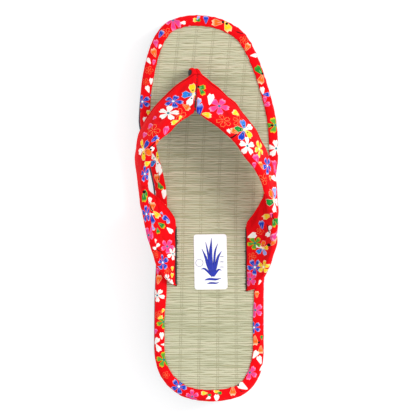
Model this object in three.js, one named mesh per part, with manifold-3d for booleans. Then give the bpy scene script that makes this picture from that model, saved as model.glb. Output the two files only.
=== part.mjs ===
// Zori sandal for the right foot: wedge sole, woven rush insole, cloth edge binding, padded V strap
// with its toe thong, and a label on the insole.
// Millimetres. +Y points to the toes, +X to the little toe, +Z up, and z = 0 is the floor.
import * as THREE from 'three';
import { mergeVertices } from 'three/addons/utils/BufferGeometryUtils.js';
import Module from 'manifold-3d';

const wasm = await Module();
wasm.setup();

// Length of the sandal, and the space kept between two pieces that touch
const heelY = -127.5;
const toeY = 127.6;
const gap = 0.3;

// Outline from above, a row for each cross-section: the inner (big toe) and the outer edge
const outlineRows = [
  { y: heelY, inner: 2.0, outer: 2.0 },
  { y: -124.6, inner: -15.9, outer: 19.8 },
  { y: -121.2, inner: -21.7, outer: 25.8 },
  { y: -115.9, inner: -27.7, outer: 30.8 },
  { y: -107, inner: -33.0, outer: 35.0 },
  { y: -93, inner: -35.4, outer: 36.6 },
  { y: -60, inner: -35.1, outer: 36.6 },
  { y: -25, inner: -33.9, outer: 38.9 },
  { y: 10, inner: -34.6, outer: 43.2 },
  { y: 36, inner: -39.9, outer: 46.8 },
  { y: 59, inner: -44.8, outer: 45.3 },
  { y: 80, inner: -44.1, outer: 40.1 },
  { y: 97, inner: -41.1, outer: 34.3 },
  { y: 111, inner: -36.5, outer: 27.7 },
  { y: 118, inner: -32.2, outer: 21.8 },
  { y: 123, inner: -27.0, outer: 13.5 },
  { y: 126, inner: -19.5, outer: 5.6 },
  { y: toeY, inner: -8.2, outer: -8.2 },
];

// Height of the insole's top over the floor along the wedge
const topRows = [
  { y: heelY, z: 35 },
  { y: -60, z: 34.5 },
  { y: -20, z: 28.5 },
  { y: 20, z: 23 },
  { y: 60, z: 21 },
  { y: 100, z: 22.5 },
  { y: toeY, z: 25.5 },
];

// Underside: flat at heel and ball, lifted under the waist and at the toe
const archRear = -50;
const archFront = 16;
const archHeight = 2;
const springStart = 70;
const toeSpring = 5;

// Insole, and how far inside the outline its edge lies
const insoleThickness = 6;
const insoleInset = 1.8;

// Binding, as a closed section: inset from the outline, and height over the insole's top
const bindingRows = [
  { inset: 6.2, h: 0.3 },
  { inset: 6.0, h: 1.2 },
  { inset: 4.5, h: 1.7 },
  { inset: 2.5, h: 1.6 },
  { inset: 0.9, h: 0.7 },
  { inset: 0.0, h: -1.2 },
  { inset: 0.0, h: -5.0 },
  { inset: 0.6, h: -6.9 },
  { inset: 2.0, h: -7.6 },
  { inset: 4.0, h: -7.6 },
  { inset: 4.0, h: -6.3 },
  { inset: 1.5, h: -6.3 },
  { inset: 1.2, h: -3.0 },
  { inset: 1.5, h: 0.3 },
];

// Sole: a step under the insole, a ledge under the binding, then the side with its lengthwise ribs,
// where share runs from the ledge's rounded edge at 0 down to the floor at 1
const stepInset = 4.4;
const stepH = -insoleThickness - gap;
const ledgeH = -7.9;
const sideTopH = -8.5;
const sideRows = [
  { share: 0.0, inset: 0.2 },
  { share: 0.27, inset: 0.2 },
  { share: 0.32, inset: 1.0 },
  { share: 0.37, inset: 0.2 },
  { share: 0.5, inset: 0.1 },
  { share: 0.55, inset: 0.9 },
  { share: 0.6, inset: 0.1 },
  { share: 0.73, inset: 0.0 },
  { share: 0.78, inset: 0.8 },
  { share: 0.83, inset: 0.0 },
  { share: 0.95, inset: 0.0 },
  { share: 1.0, inset: 0.9 },
];

// Cross grooves of the underside, between the lugs
const grooveWidth = 3;
const grooveDepth = 1.8;
const groovePitch = 11;
const grooveZones = [
  { first: -112, count: 6 },
  { first: 26, count: 8 },
];

// Slits that hold the strap's ends, and the hole of the thong
const slitHalfWidth = 1.3;
const slits = [
  { x: -21.1, rear: -51.6, front: -12.4 },
  { x: 25.3, rear: -55.0, front: -12.2 },
];
const tailH = -8.8;
const pocketH = -9.5;
const thong = { x: -8.5, y: 90.2, width: 8, depth: 4.4 };

// Strap, a row for each station from the inner slit over the toes to the outer slit: the front and
// lower edge, the topline edge, the padding's thickness and the bow of its face
const strapColumns = ['frontX', 'frontY', 'frontH', 'topX', 'topY', 'topH', 'pad', 'bow'];
const strapRows = [
  [-21.1, -13.0, tailH, -21.1, -51.0, tailH, 2.0, 0],
  [-21.1, -13.0, 0.6, -21.1, -51.0, 0.6, 2.0, 0],
  [-22.6, -6.0, 3, -25.6, -48.8, 4, 2.6, 0.6],
  [-28.4, 2.0, 5, -31.8, -40.6, 10, 3.4, 1.2],
  [-34.4, 8.6, 7, -36.5, -26.4, 17, 4.2, 1.8],
  [-38.6, 13.5, 9, -39.4, -12.0, 23, 4.6, 2.0],
  [-41.4, 20.0, 10.5, -41.0, 2.0, 29, 4.6, 2.0],
  [-44.9, 29.0, 11.5, -41.4, 16.0, 33, 4.6, 1.8],
  [-46.4, 38.0, 12.5, -39.8, 28.0, 36, 4.6, 1.6],
  [-43.6, 51.0, 13.5, -35.6, 41.0, 37, 4.6, 1.6],
  [-37.8, 64.0, 14, -28.8, 50.4, 36, 4.6, 1.6],
  [-29.8, 73.5, 14, -21.2, 57.4, 33, 4.6, 1.5],
  [-20.8, 82.0, 13.5, -14.2, 62.4, 30, 4.4, 1.2],
  [-13.8, 86.5, 13, -10.6, 65.0, 28.5, 4.2, 1.0],
  [-8.5, 89.0, 12.5, -8.5, 66.2, 28, 3.4, 0.8],
  [-2.8, 86.3, 13, -6.8, 65.2, 28.5, 4.2, 1.0],
  [3.2, 81.5, 13.5, -3.4, 62.8, 29.5, 4.4, 1.2],
  [11.3, 74.5, 13.8, 3.4, 58.0, 31, 4.6, 1.4],
  [19.4, 66.9, 13.8, 11.2, 51.8, 33, 4.6, 1.5],
  [27.6, 56.8, 13.5, 19.6, 43.6, 34.5, 4.6, 1.4],
  [33.9, 45.6, 13, 27.2, 33.8, 35, 4.6, 1.3],
  [38.2, 35.0, 12.5, 32.8, 24.0, 34, 4.6, 1.3],
  [40.9, 26.5, 11.5, 36.4, 12.5, 32, 4.6, 1.6],
  [41.5, 18.5, 10.5, 40.4, -2.0, 28, 4.6, 2.0],
  [39.6, 11.5, 9, 43.2, -15.0, 23, 4.6, 2.0],
  [36.4, 4.5, 7, 42.0, -29.4, 17, 4.2, 1.8],
  [32.0, -3.0, 5, 37.6, -43.2, 10, 3.4, 1.2],
  [27.2, -9.0, 3, 31.0, -52.6, 4, 2.6, 0.6],
  [25.3, -12.8, 0.6, 25.3, -54.4, 0.6, 2.0, 0],
  [25.3, -12.8, tailH, 25.3, -54.4, tailH, 2.0, 0],
];
const frontEdgeThickness = 2.6;
const topEdgeThickness = 4.2;
const strapHalfPoints = 9;
const strapStepsPerRow = 3;

// Thong, from the seam's front end down to its pocket, in the plane of the seam
const thongPath = [
  { y: 84, h: 15.2 },
  { y: 88, h: 12.8 },
  { y: 90, h: 8.5 },
  { y: 90.2, h: 4 },
  { y: 90.2, h: -3 },
  { y: 90.2, h: tailH },
];

// Label: centre, size, corner radius and turn in plan, lying on the insole
const label = { x: 1.6, y: -35.5, width: 21.8, length: 36.3, corner: 1.8, turn: 0.015, thickness: 0.4 };

const outlineSteps = 44;

// Smooth curve through the points (at, value): a cubic in each span, with the slope of the neighbours at
// each point, and level where the values turn or stay the same
function curveThrough(at, value) {
  const last = at.length - 1;
  const slope = value.map((here, i) => {
    const before = Math.max(i - 1, 0);
    const after = Math.min(i + 1, last);
    const turns = i > 0 && i < last && (here - value[before]) * (value[after] - here) <= 0;
    return turns ? 0 : (value[after] - value[before]) / (at[after] - at[before]);
  });
  return (t) => {
    let i = 0;
    while (i < last - 1 && t > at[i + 1]) i += 1;
    const width = at[i + 1] - at[i];
    const u = THREE.MathUtils.clamp((t - at[i]) / width, 0, 1);
    const rise = value[i + 1] - value[i];
    const bendStart = slope[i] * width - rise;
    const bendEnd = -slope[i + 1] * width + rise;
    return value[i] + u * rise + u * (1 - u) * ((1 - u) * bendStart + u * bendEnd);
  };
}

// Turn of a station round the outline: 0 at the heel's tip and pi at the toe's tip
const turnOf = (y) => Math.acos(1 - (2 * (y - heelY)) / (toeY - heelY));
const yOfTurn = (turn) => heelY + ((toeY - heelY) * (1 - Math.cos(turn))) / 2;
const outlineTurns = outlineRows.map((row) => turnOf(row.y));
const innerEdge = curveThrough(outlineTurns, outlineRows.map((row) => row.inner));
const outerEdge = curveThrough(outlineTurns, outlineRows.map((row) => row.outer));

const topAt = curveThrough(topRows.map((row) => row.y), topRows.map((row) => row.z));

function floorAt(y) {
  if (y > springStart) return toeSpring * ((y - springStart) / (toeY - springStart)) ** 2;
  const share = THREE.MathUtils.clamp((y - archRear) / (archFront - archRear), 0, 1);
  return archHeight * Math.sin(Math.PI * share) ** 2;
}

// Points of the outline in one turn, heel tip first, up the outer edge and back down the inner edge,
// so that points i and 2n - i face each other
function outlineLoop() {
  const points = [];
  for (let i = 0; i < 2 * outlineSteps; i += 1) {
    const turn = (Math.PI * (i <= outlineSteps ? i : 2 * outlineSteps - i)) / outlineSteps;
    const x = i <= outlineSteps ? outerEdge(turn) : innerEdge(turn);
    points.push(new THREE.Vector2(x, yOfTurn(turn)));
  }
  return points;
}

const outline = outlineLoop();
const inwards = outline.map((_, i) => {
  const count = outline.length;
  const along = outline[(i + 1) % count].clone().sub(outline[(i + count - 1) % count]).normalize();
  return new THREE.Vector2(-along.y, along.x);
});

// Ring of points at an inset from the outline, at the height that zAt gives for each y
function edgeRing(inset, zAt) {
  return outline.map((point, i) => {
    const at = point.clone().addScaledVector(inwards[i], inset);
    return new THREE.Vector3(at.x, at.y, zAt(at.y));
  });
}

const overTop = (h) => (y) => topAt(y) + h;

// Volume inside a triangle mesh, negative when its faces point inwards
function signedVolume(vertices, triangles) {
  let volume = 0;
  for (let i = 0; i < triangles.length; i += 3) {
    const [a, b, c] = [0, 1, 2].map((k) => vertices[triangles[i + k]]);
    volume += a.dot(b.clone().cross(c)) / 6;
  }
  return volume;
}

// Closed surface through rings of equal count. Open rows get a cap on the first and the last ring, made
// as a strip between the facing points i and n - i; a joined row closes on itself.
function skin(rings, joined = false) {
  const count = rings[0].length;
  const vertices = rings.flat();
  const triangles = [];
  const spans = joined ? rings.length : rings.length - 1;
  for (let r = 0; r < spans; r += 1) {
    const from = r * count;
    const to = ((r + 1) % rings.length) * count;
    for (let i = 0; i < count; i += 1) {
      const j = (i + 1) % count;
      triangles.push(from + i, from + j, to + j, from + i, to + j, to + i);
    }
  }
  const cap = (start, flip) => {
    for (let i = 0; i < count / 2; i += 1) {
      const [a, b] = [start + i, start + i + 1];
      const c = start + ((count - i - 1) % count);
      const d = start + ((count - i) % count);
      const corners = [a, d, c, a, c, b];
      const faces = flip ? corners.reverse() : corners;
      for (const face of [faces.slice(0, 3), faces.slice(3)]) {
        if (new Set(face).size === 3) triangles.push(...face);
      }
    }
  };
  if (!joined) {
    cap(0, false);
    cap((rings.length - 1) * count, true);
  }
  if (signedVolume(vertices, triangles) < 0) triangles.reverse();
  const geometry = new THREE.BufferGeometry();
  const numbers = vertices.flatMap((vertex) => vertex.toArray());
  geometry.setAttribute('position', new THREE.Float32BufferAttribute(numbers, 3));
  geometry.setIndex(triangles);
  return geometry;
}

function solidOf(geometry) {
  const bare = geometry.clone();
  bare.deleteAttribute('normal');
  bare.deleteAttribute('uv');
  const merged = mergeVertices(bare, 1e-4);
  return new wasm.Manifold(new wasm.Mesh({
    numProp: 3,
    vertProperties: new Float32Array(merged.attributes.position.array),
    triVerts: new Uint32Array(merged.index.array),
  }));
}

function geometryOf(solid) {
  const mesh = solid.getMesh();
  const geometry = new THREE.BufferGeometry();
  geometry.setAttribute('position', new THREE.Float32BufferAttribute(mesh.vertProperties, 3));
  geometry.setIndex([...mesh.triVerts]);
  return geometry;
}

// Block with round ends that follows the insole's slope, from height low to height high over its top
function slotBlock(slot, halfWidth, low, high) {
  const shape = new THREE.Shape();
  shape.absarc(slot.x, slot.front - halfWidth, halfWidth, 0, Math.PI);
  shape.absarc(slot.x, slot.rear + halfWidth, halfWidth, Math.PI, 2 * Math.PI);
  const depth = high - low;
  const geometry = new THREE.ExtrudeGeometry(shape, { depth, bevelEnabled: false, curveSegments: 4 });
  geometry.translate(0, 0, low);
  const position = geometry.attributes.position;
  for (let i = 0; i < position.count; i += 1) position.setZ(i, position.getZ(i) + topAt(position.getY(i)));
  return solidOf(geometry);
}

// Upright oval that holds the thong, from height low to height high over the insole's top
function thongBlock(clearance, low, high) {
  const height = high - low;
  const geometry = new THREE.CylinderGeometry(1, 1, height, 20).rotateX(Math.PI / 2);
  geometry.scale(thong.width / 2 + clearance, thong.depth / 2 + clearance, 1);
  geometry.translate(thong.x, thong.y, topAt(thong.y) + (low + high) / 2);
  return solidOf(geometry);
}

// Sole

function soleSolid() {
  const sideZ = (share) => (y) => THREE.MathUtils.lerp(topAt(y) + sideTopH, floorAt(y), share);
  const rings = [
    edgeRing(stepInset, overTop(stepH)),
    edgeRing(stepInset, overTop(ledgeH)),
    edgeRing(0.9, overTop(ledgeH)),
    ...sideRows.map((row) => edgeRing(row.inset, sideZ(row.share))),
  ];
  let solid = solidOf(skin(rings));
  for (const slit of slits) solid = solid.subtract(slotBlock(slit, slitHalfWidth + gap, pocketH, 0));
  solid = solid.subtract(thongBlock(2 * gap, pocketH, 0));
  for (const zone of grooveZones) {
    for (let i = 0; i < zone.count; i += 1) {
      const y = zone.first + i * groovePitch;
      const top = floorAt(y) + grooveDepth;
      const groove = new THREE.BoxGeometry(120, grooveWidth, 10);
      groove.translate(0, y, top - 5);
      solid = solid.subtract(solidOf(groove));
    }
  }
  return solid;
}

// Insole

function insoleSolid() {
  const rings = [
    edgeRing(insoleInset, overTop(0)),
    edgeRing(insoleInset, overTop(-insoleThickness)),
  ];
  let solid = solidOf(skin(rings));
  for (const slit of slits) solid = solid.subtract(slotBlock(slit, slitHalfWidth, -insoleThickness - 2, 2));
  return solid.subtract(thongBlock(gap, -insoleThickness - 2, 2));
}

// Binding

function bindingGeometry() {
  return skin(bindingRows.map((row) => edgeRing(row.inset, overTop(row.h))), true);
}

// Strap

const strapAt = Object.fromEntries(strapColumns.map((name, column) => [
  name,
  curveThrough(strapRows.map((_, i) => i), strapRows.map((row) => row[column])),
]));

function strapEdges(at) {
  const front = new THREE.Vector3(strapAt.frontX(at), strapAt.frontY(at), strapAt.frontH(at));
  const top = new THREE.Vector3(strapAt.topX(at), strapAt.topY(at), strapAt.topH(at));
  front.z += topAt(front.y);
  top.z += topAt(top.y);
  return { front, top };
}

// Closed section of the strap at one station: a padded lens from the front edge over the outer face to
// the topline edge, and back along the foot's side
function strapRing(at) {
  const middleOf = (edges) => edges.front.clone().add(edges.top).multiplyScalar(0.5);
  const last = strapRows.length - 1;
  const { front, top } = strapEdges(at);
  const along = middleOf(strapEdges(Math.min(at + 0.2, last)))
    .sub(middleOf(strapEdges(Math.max(at - 0.2, 0)))).normalize();
  const outwards = top.clone().sub(front).cross(along).normalize();
  const pad = strapAt.pad(at);
  const width = front.distanceTo(top);
  const ring = [];
  for (let i = 0; i < 2 * strapHalfPoints; i += 1) {
    const share = (1 - Math.cos((Math.PI * i) / strapHalfPoints)) / 2;
    const arch = 4 * share * (1 - share);
    const edge = Math.min(pad, THREE.MathUtils.lerp(frontEdgeThickness, topEdgeThickness, share));
    const half = THREE.MathUtils.lerp(edge, pad, arch) / 2;
    const nearness = Math.max(1 - (width * Math.min(share, 1 - share)) / half, 0);
    const side = i < strapHalfPoints ? 1 : -1;
    const lift = strapAt.bow(at) * arch + side * half * Math.sqrt(1 - nearness ** 2);
    ring.push(front.clone().lerp(top, share).addScaledVector(outwards, lift));
  }
  return ring;
}

function thongGeometry() {
  const points = thongPath.map((p) => new THREE.Vector3(thong.x, p.y, topAt(p.y) + p.h));
  const curve = new THREE.CatmullRomCurve3(points);
  const steps = 12;
  const rings = [];
  for (let i = 0; i <= steps; i += 1) {
    const centre = curve.getPointAt(i / steps);
    const along = curve.getTangentAt(i / steps);
    const across = new THREE.Vector3(0, -along.z, along.y);
    const ring = [];
    for (let k = 0; k < 16; k += 1) {
      const angle = (2 * Math.PI * k) / 16;
      ring.push(centre.clone()
        .addScaledVector(new THREE.Vector3(1, 0, 0), (Math.cos(angle) * thong.width) / 2)
        .addScaledVector(across, (Math.sin(angle) * thong.depth) / 2));
    }
    rings.push(ring);
  }
  return skin(rings);
}

function strapSolid() {
  const rings = [];
  const steps = (strapRows.length - 1) * strapStepsPerRow;
  for (let i = 0; i <= steps; i += 1) rings.push(strapRing(i / strapStepsPerRow));
  return solidOf(skin(rings)).add(solidOf(thongGeometry()));
}

// Label: a slab that follows the insole's slope, cut to an upright plate with round corners

function labelSolid() {
  const { x, y, width, length, corner, turn } = label;
  const slab = new THREE.BoxGeometry(2 * width, 1.2 * length, label.thickness, 1, 10, 1);
  slab.translate(x, y, gap + label.thickness / 2);
  const position = slab.attributes.position;
  for (let i = 0; i < position.count; i += 1) position.setZ(i, position.getZ(i) + topAt(position.getY(i)));
  const [halfWidth, halfLength] = [width / 2 - corner, length / 2 - corner];
  const shape = new THREE.Shape();
  shape.absarc(halfWidth, halfLength, corner, 0, Math.PI / 2);
  shape.absarc(-halfWidth, halfLength, corner, Math.PI / 2, Math.PI);
  shape.absarc(-halfWidth, -halfLength, corner, Math.PI, 1.5 * Math.PI);
  shape.absarc(halfWidth, -halfLength, corner, 1.5 * Math.PI, 2 * Math.PI);
  const depth = 2 * topAt(y);
  const plate = new THREE.ExtrudeGeometry(shape, { depth, bevelEnabled: false, curveSegments: 4 });
  plate.rotateZ(turn).translate(x, y, 0);
  return solidOf(slab).intersect(solidOf(plate));
}

// Finishes

const soleRubber = new THREE.MeshStandardMaterial({ color: 0x33363f, roughness: 0.85, metalness: 0 });
const rush = new THREE.MeshStandardMaterial({ color: 0xc8c6a0, roughness: 0.8, metalness: 0 });
const printedCotton = new THREE.MeshStandardMaterial({ color: 0xe0121e, roughness: 0.9, metalness: 0 });
const labelFilm = new THREE.MeshStandardMaterial({ color: 0xf2f2f2, roughness: 0.4, metalness: 0 });

const group = new THREE.Group();

function addPiece(name, geometry, material) {
  const piece = new THREE.Mesh(geometry, material);
  piece.name = name;
  group.add(piece);
}

addPiece('sole', geometryOf(soleSolid()), soleRubber);
addPiece('tatami_insole', geometryOf(insoleSolid()), rush);
addPiece('edge_binding', bindingGeometry(), printedCotton);
addPiece('strap_upper', geometryOf(strapSolid()), printedCotton);
addPiece('size_label', geometryOf(labelSolid()), labelFilm);

export default group;
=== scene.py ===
# Zori sandal for the right foot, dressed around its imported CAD: a dark foam wedge sole, a woven rush
# insole, flower-print cotton on its edge and on the padded V strap, a toe thong and a plain label.
# Sizes are millimetres in the CAD's frame: +Y to the toes, +X to the little toe, z = 0 the floor.
import bpy
import numpy as np
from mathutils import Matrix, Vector


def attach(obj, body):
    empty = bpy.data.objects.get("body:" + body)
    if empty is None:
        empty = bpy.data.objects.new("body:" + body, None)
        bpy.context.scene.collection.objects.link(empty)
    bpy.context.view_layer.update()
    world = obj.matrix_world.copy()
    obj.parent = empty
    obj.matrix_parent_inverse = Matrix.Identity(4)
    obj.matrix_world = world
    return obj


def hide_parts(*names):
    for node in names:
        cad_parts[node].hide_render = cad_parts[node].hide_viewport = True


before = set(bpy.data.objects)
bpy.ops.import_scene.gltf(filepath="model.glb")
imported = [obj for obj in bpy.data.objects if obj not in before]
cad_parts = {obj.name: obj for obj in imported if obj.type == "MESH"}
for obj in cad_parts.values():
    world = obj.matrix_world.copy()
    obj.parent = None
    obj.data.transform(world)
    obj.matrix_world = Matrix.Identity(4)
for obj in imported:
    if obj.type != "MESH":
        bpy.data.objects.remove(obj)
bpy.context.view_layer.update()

# Sole: a wedge moulded in one piece from dark foam, with a low arch, toe spring, fine lengthwise ribs on
# its side and cross grooves underneath. The insole lies on its step, and the binding on the ledge round it.
heel_y, toe_y = -127.5, 127.6
# Outline from above: y, inner edge x, outer edge x
outline_rows = np.array([
    [-127.5, 2.0, 2.0], [-124.6, -15.9, 19.8], [-121.2, -21.7, 25.8], [-115.9, -27.7, 30.8],
    [-107, -33.0, 35.0], [-93, -35.4, 36.6], [-60, -35.1, 36.6], [-25, -33.9, 38.9], [10, -34.6, 43.2],
    [36, -39.9, 46.8], [59, -44.8, 45.3], [80, -44.1, 40.1], [97, -41.1, 34.3], [111, -36.5, 27.7],
    [118, -32.2, 21.8], [123, -27.0, 13.5], [126, -19.5, 5.6], [127.6, -8.2, -8.2],
])
# Height of the insole's top along the wedge: y, z
top_rows = np.array([[-127.5, 35], [-60, 34.5], [-20, 28.5], [20, 23], [60, 21], [100, 22.5], [127.6, 25.5]])
arch_rear, arch_front, arch_height = -50, 16, 2
spring_start, toe_spring = 70, 5
groove_width, groove_depth, groove_pitch, groove_wall = 3, 1.8, 11, 0.12
groove_ys = np.concatenate([-112 + groove_pitch * np.arange(6), 26 + groove_pitch * np.arange(8)])
# Section from under the insole over its step and the ledge: inset, height over the insole's top
step_inset, step_h, ledge_h = 4.4, -6.3, -7.9
ledge_rows = [(step_inset + 8, step_h), (step_inset + 0.2, step_h), (step_inset, step_h - 0.2),
              (step_inset, ledge_h), (1.6, ledge_h), (1.0, ledge_h - 0.03), (0.6, ledge_h - 0.15)]
# Side: its top, its inset there, its rounding into the floor from a share of its height, the floor's inset
side_top_h, side_inset, side_rounding, rounding_from, floor_inset = -8.5, 0.2, 0.9, 0.93, 2.2
# Ribs of the side: how far down the side each groove lies, its half width as a share, and its depth
rib_grooves = [(0.32, 0.045, 0.8), (0.55, 0.045, 0.8), (0.78, 0.045, 0.8)]
# Rim along the inner waist that stands proud of the binding, and where it eases in and out along y
waist_rim, rim_rear, rim_front = 0.9, (-14, 8), (80, 56)


def curve_through(at, value, here):
    """Smooth curve through the rows (at, value): in each span a cubic whose slope at a row is the slope
    between the row's neighbours, and level where the values turn or stay the same."""
    at, value = np.asarray(at, float), np.asarray(value, float)
    here = np.clip(here, at[0], at[-1])
    before = np.maximum(np.arange(len(at)) - 1, 0)
    after = np.minimum(np.arange(len(at)) + 1, len(at) - 1)
    slope = (value[after] - value[before]) / (at[after] - at[before])
    turns = (value - value[before]) * (value[after] - value) <= 0
    turns[[0, -1]] = False
    slope[turns] = 0
    i = np.clip(np.searchsorted(at, here, side="left") - 1, 0, len(at) - 2)
    width = at[i + 1] - at[i]
    rise = value[i + 1] - value[i]
    u = (here - at[i]) / width
    bend_start = slope[i] * width - rise
    bend_end = rise - slope[i + 1] * width
    return value[i] + u * rise + u * (1 - u) * ((1 - u) * bend_start + u * bend_end)


def smooth_step(low, high, value):
    """Nought below low, one above high, and 3u² − 2u³ between them."""
    u = np.clip((value - low) / (high - low), 0, 1)
    return u * u * (3 - 2 * u)


def unit(vectors):
    """Vectors divided by their lengths."""
    return vectors / (np.linalg.norm(vectors, axis=-1, keepdims=True) + 1e-9)


def turn_of(y):
    """Turn round the outline at y: 0 at the heel's tip and pi at the toe's tip, the inverse cosine of y."""
    return np.arccos(np.clip(1 - 2 * (np.asarray(y, float) - heel_y) / (toe_y - heel_y), -1, 1))


def outline_ys(count):
    """So many y from heel to toe at even turns, which brings them close together at both tips."""
    return heel_y + (toe_y - heel_y) * (1 - np.cos(np.linspace(0, np.pi, count))) / 2


def edge_x(column, y):
    """x of the outline's inner (1) or outer (2) edge at y, from the outline's rows over the turn."""
    return curve_through(turn_of(outline_rows[:, 0]), outline_rows[:, column], turn_of(y))


def top_z(y):
    """Height of the insole's top at y."""
    return curve_through(top_rows[:, 0], top_rows[:, 1], y)


def floor_z(y):
    """Underside without its grooves: a squared sine under the waist, and a parabola up to the toe."""
    waist = np.clip((y - arch_rear) / (arch_front - arch_rear), 0, 1)
    spring = np.clip((y - spring_start) / (toe_y - spring_start), 0, 1)
    return arch_height * np.sin(np.pi * waist) ** 2 + toe_spring * spring ** 2


def outline_at(ys):
    """Points round the outline for rising ys, heel tip first, up the outer edge and down the inner one,
    and at each the unit normal into the shoe: the chord between its neighbours turned a quarter left."""
    back = ys[-2:0:-1]
    points = np.stack([np.concatenate([edge_x(2, ys), edge_x(1, back)]), np.concatenate([ys, back])], 1)
    chord = unit(np.roll(points, -1, 0) - np.roll(points, 1, 0))
    return points, np.stack([-chord[:, 1], chord[:, 0]], 1)


def grid_quads(rows, columns, join_rows=False):
    """Quads between neighbouring points of a grid whose columns close on themselves."""
    r = np.arange(rows if join_rows else rows - 1)[:, None] * columns
    c = np.arange(columns)[None, :]
    r_next, c_next = (r + columns) % (rows * columns), (c + 1) % columns
    return np.stack([r + c, r + c_next, r_next + c_next, r_next + c], -1).reshape(-1, 4)


def capped_faces(rows, columns):
    """Quads and triangles of a grid of rings with a flat end over its first and last ring. An end is a
    strip between the facing points i and columns − i, whose first and last faces are triangles."""
    i = np.arange(1, columns // 2 - 1)
    strip = np.stack([i, i + 1, columns - i - 1, columns - i], -1)
    half, last = columns // 2, (rows - 1) * columns
    tips = np.array([[0, 1, columns - 1], [half - 1, half, half + 1]])
    quads = np.concatenate([grid_quads(rows, columns), strip[:, ::-1], last + strip])
    return quads, np.concatenate([tips[:, ::-1], last + tips])


def placed(name, data):
    """A new object in the scene that shows the data."""
    made = bpy.data.objects.new(name, data)
    bpy.context.scene.collection.objects.link(made)
    return made


def add_piece(name, slot, points, quads, triangles=(), corner_fields=None, point_fields=None):
    """Piece from points in millimetres: a smooth mesh, turned if need be so that its volume is positive.
    Corner fields follow the quads' corners, and point fields the points."""
    points = np.asarray(points, float).reshape(-1, 3)
    triangles = np.asarray(triangles, int).reshape(-1, 3)
    fans = np.concatenate([triangles, quads[:, [0, 1, 2]], quads[:, [0, 2, 3]]])
    a, b, c = (points[fans[:, k]] for k in range(3))
    inside_out = np.einsum("ij,ij->i", a - points.mean(0), np.cross(b - a, c - a)).sum() < 0
    order = -1 if inside_out else 1
    loops = np.concatenate([quads[:, ::order].ravel(), triangles[:, ::order].ravel()])
    sizes = np.concatenate([np.full(len(quads), 4), np.full(len(triangles), 3)])
    mesh = bpy.data.meshes.new(name)
    mesh.vertices.add(len(points))
    mesh.vertices.foreach_set("co", (points * 0.001).astype(np.float32).ravel())
    mesh.loops.add(len(loops))
    mesh.loops.foreach_set("vertex_index", loops.astype(np.int32))
    mesh.polygons.add(len(sizes))
    mesh.polygons.foreach_set("loop_start", (np.cumsum(sizes) - sizes).astype(np.int32))
    mesh.polygons.foreach_set("use_smooth", np.ones(len(sizes), bool))
    mesh.update(calc_edges=True)
    mesh.validate()
    for field, values in (corner_fields or {}).items():
        width = values.shape[-1]
        filled = np.zeros((len(loops), width))
        filled[:quads.size] = values[:, ::order].reshape(-1, width)
        if width == 2:
            mesh.uv_layers.new(name=field).uv.foreach_set("vector", filled.astype(np.float32).ravel())
        else:
            layer = mesh.attributes.new(field, "FLOAT_VECTOR", "CORNER")
            layer.data.foreach_set("vector", filled.astype(np.float32).ravel())
    for field, values in (point_fields or {}).items():
        layer = mesh.attributes.new(field, "FLOAT", "POINT")
        layer.data.foreach_set("value", np.asarray(values, np.float32).ravel())
    piece = placed(name, mesh)
    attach(piece, "root")
    return piece


def moulded_sole():
    """Rings from the insole's step over the ledge and its rounded edge, down the side and round its lower
    edge. A side point lies at the outline plus its inset, and a rib's groove adds depth·(1 − d²)^0.7 at d
    half widths from its middle; below a cross groove's ceiling a point is lifted to it. The rim at the
    inner waist is a step in y, eased at both ends."""
    walls = groove_wall * np.array([-1, 1, -1, 1])
    edges = groove_ys[:, None] + np.array([-1, -1, 1, 1]) * groove_width / 2 + walls
    outline, inwards = outline_at(np.union1d(outline_ys(201), edges.ravel()))
    y = outline[:, 1]
    from_groove = np.abs(y[:, None] - groove_ys).min(1)
    floor = floor_z(y) + groove_depth * (from_groove < groove_width / 2)
    side_top = top_z(y) + side_top_h
    rings = [(inset, top_z(y) + height) for inset, height in ledge_rows]
    rib_shares = [place + half_width * np.linspace(-1, 1, 7) for place, half_width, depth in rib_grooves]
    for share in np.unique(np.concatenate([np.linspace(0, 1, 15), *rib_shares])):
        inset = side_inset - side_inset * share
        for place, half_width, depth in rib_grooves:
            inset += depth * np.clip(1 - ((share - place) / half_width) ** 2, 0, 1) ** 0.7
        inset += side_rounding * smooth_step(rounding_from, 1.0, share) ** 2
        rings.append((inset, side_top + (floor_z(y) - side_top) * share))
    rings.append((floor_inset, floor_z(y)))
    proud = waist_rim * smooth_step(*rim_rear, y) * smooth_step(*rim_front, y) * (outline[:, 0] < 0)
    points = []
    for inset, z in rings:
        plan = outline + inwards * (inset - proud * (inset < step_inset))[:, None]
        points.append(np.column_stack([plan, np.maximum(z, floor)]))
    return np.array(points)


sole_points = moulded_sole()
sole = add_piece("sole_moulded", "sole_rubber", sole_points, *capped_faces(*sole_points.shape[:2]))
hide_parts("sole")


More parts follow.
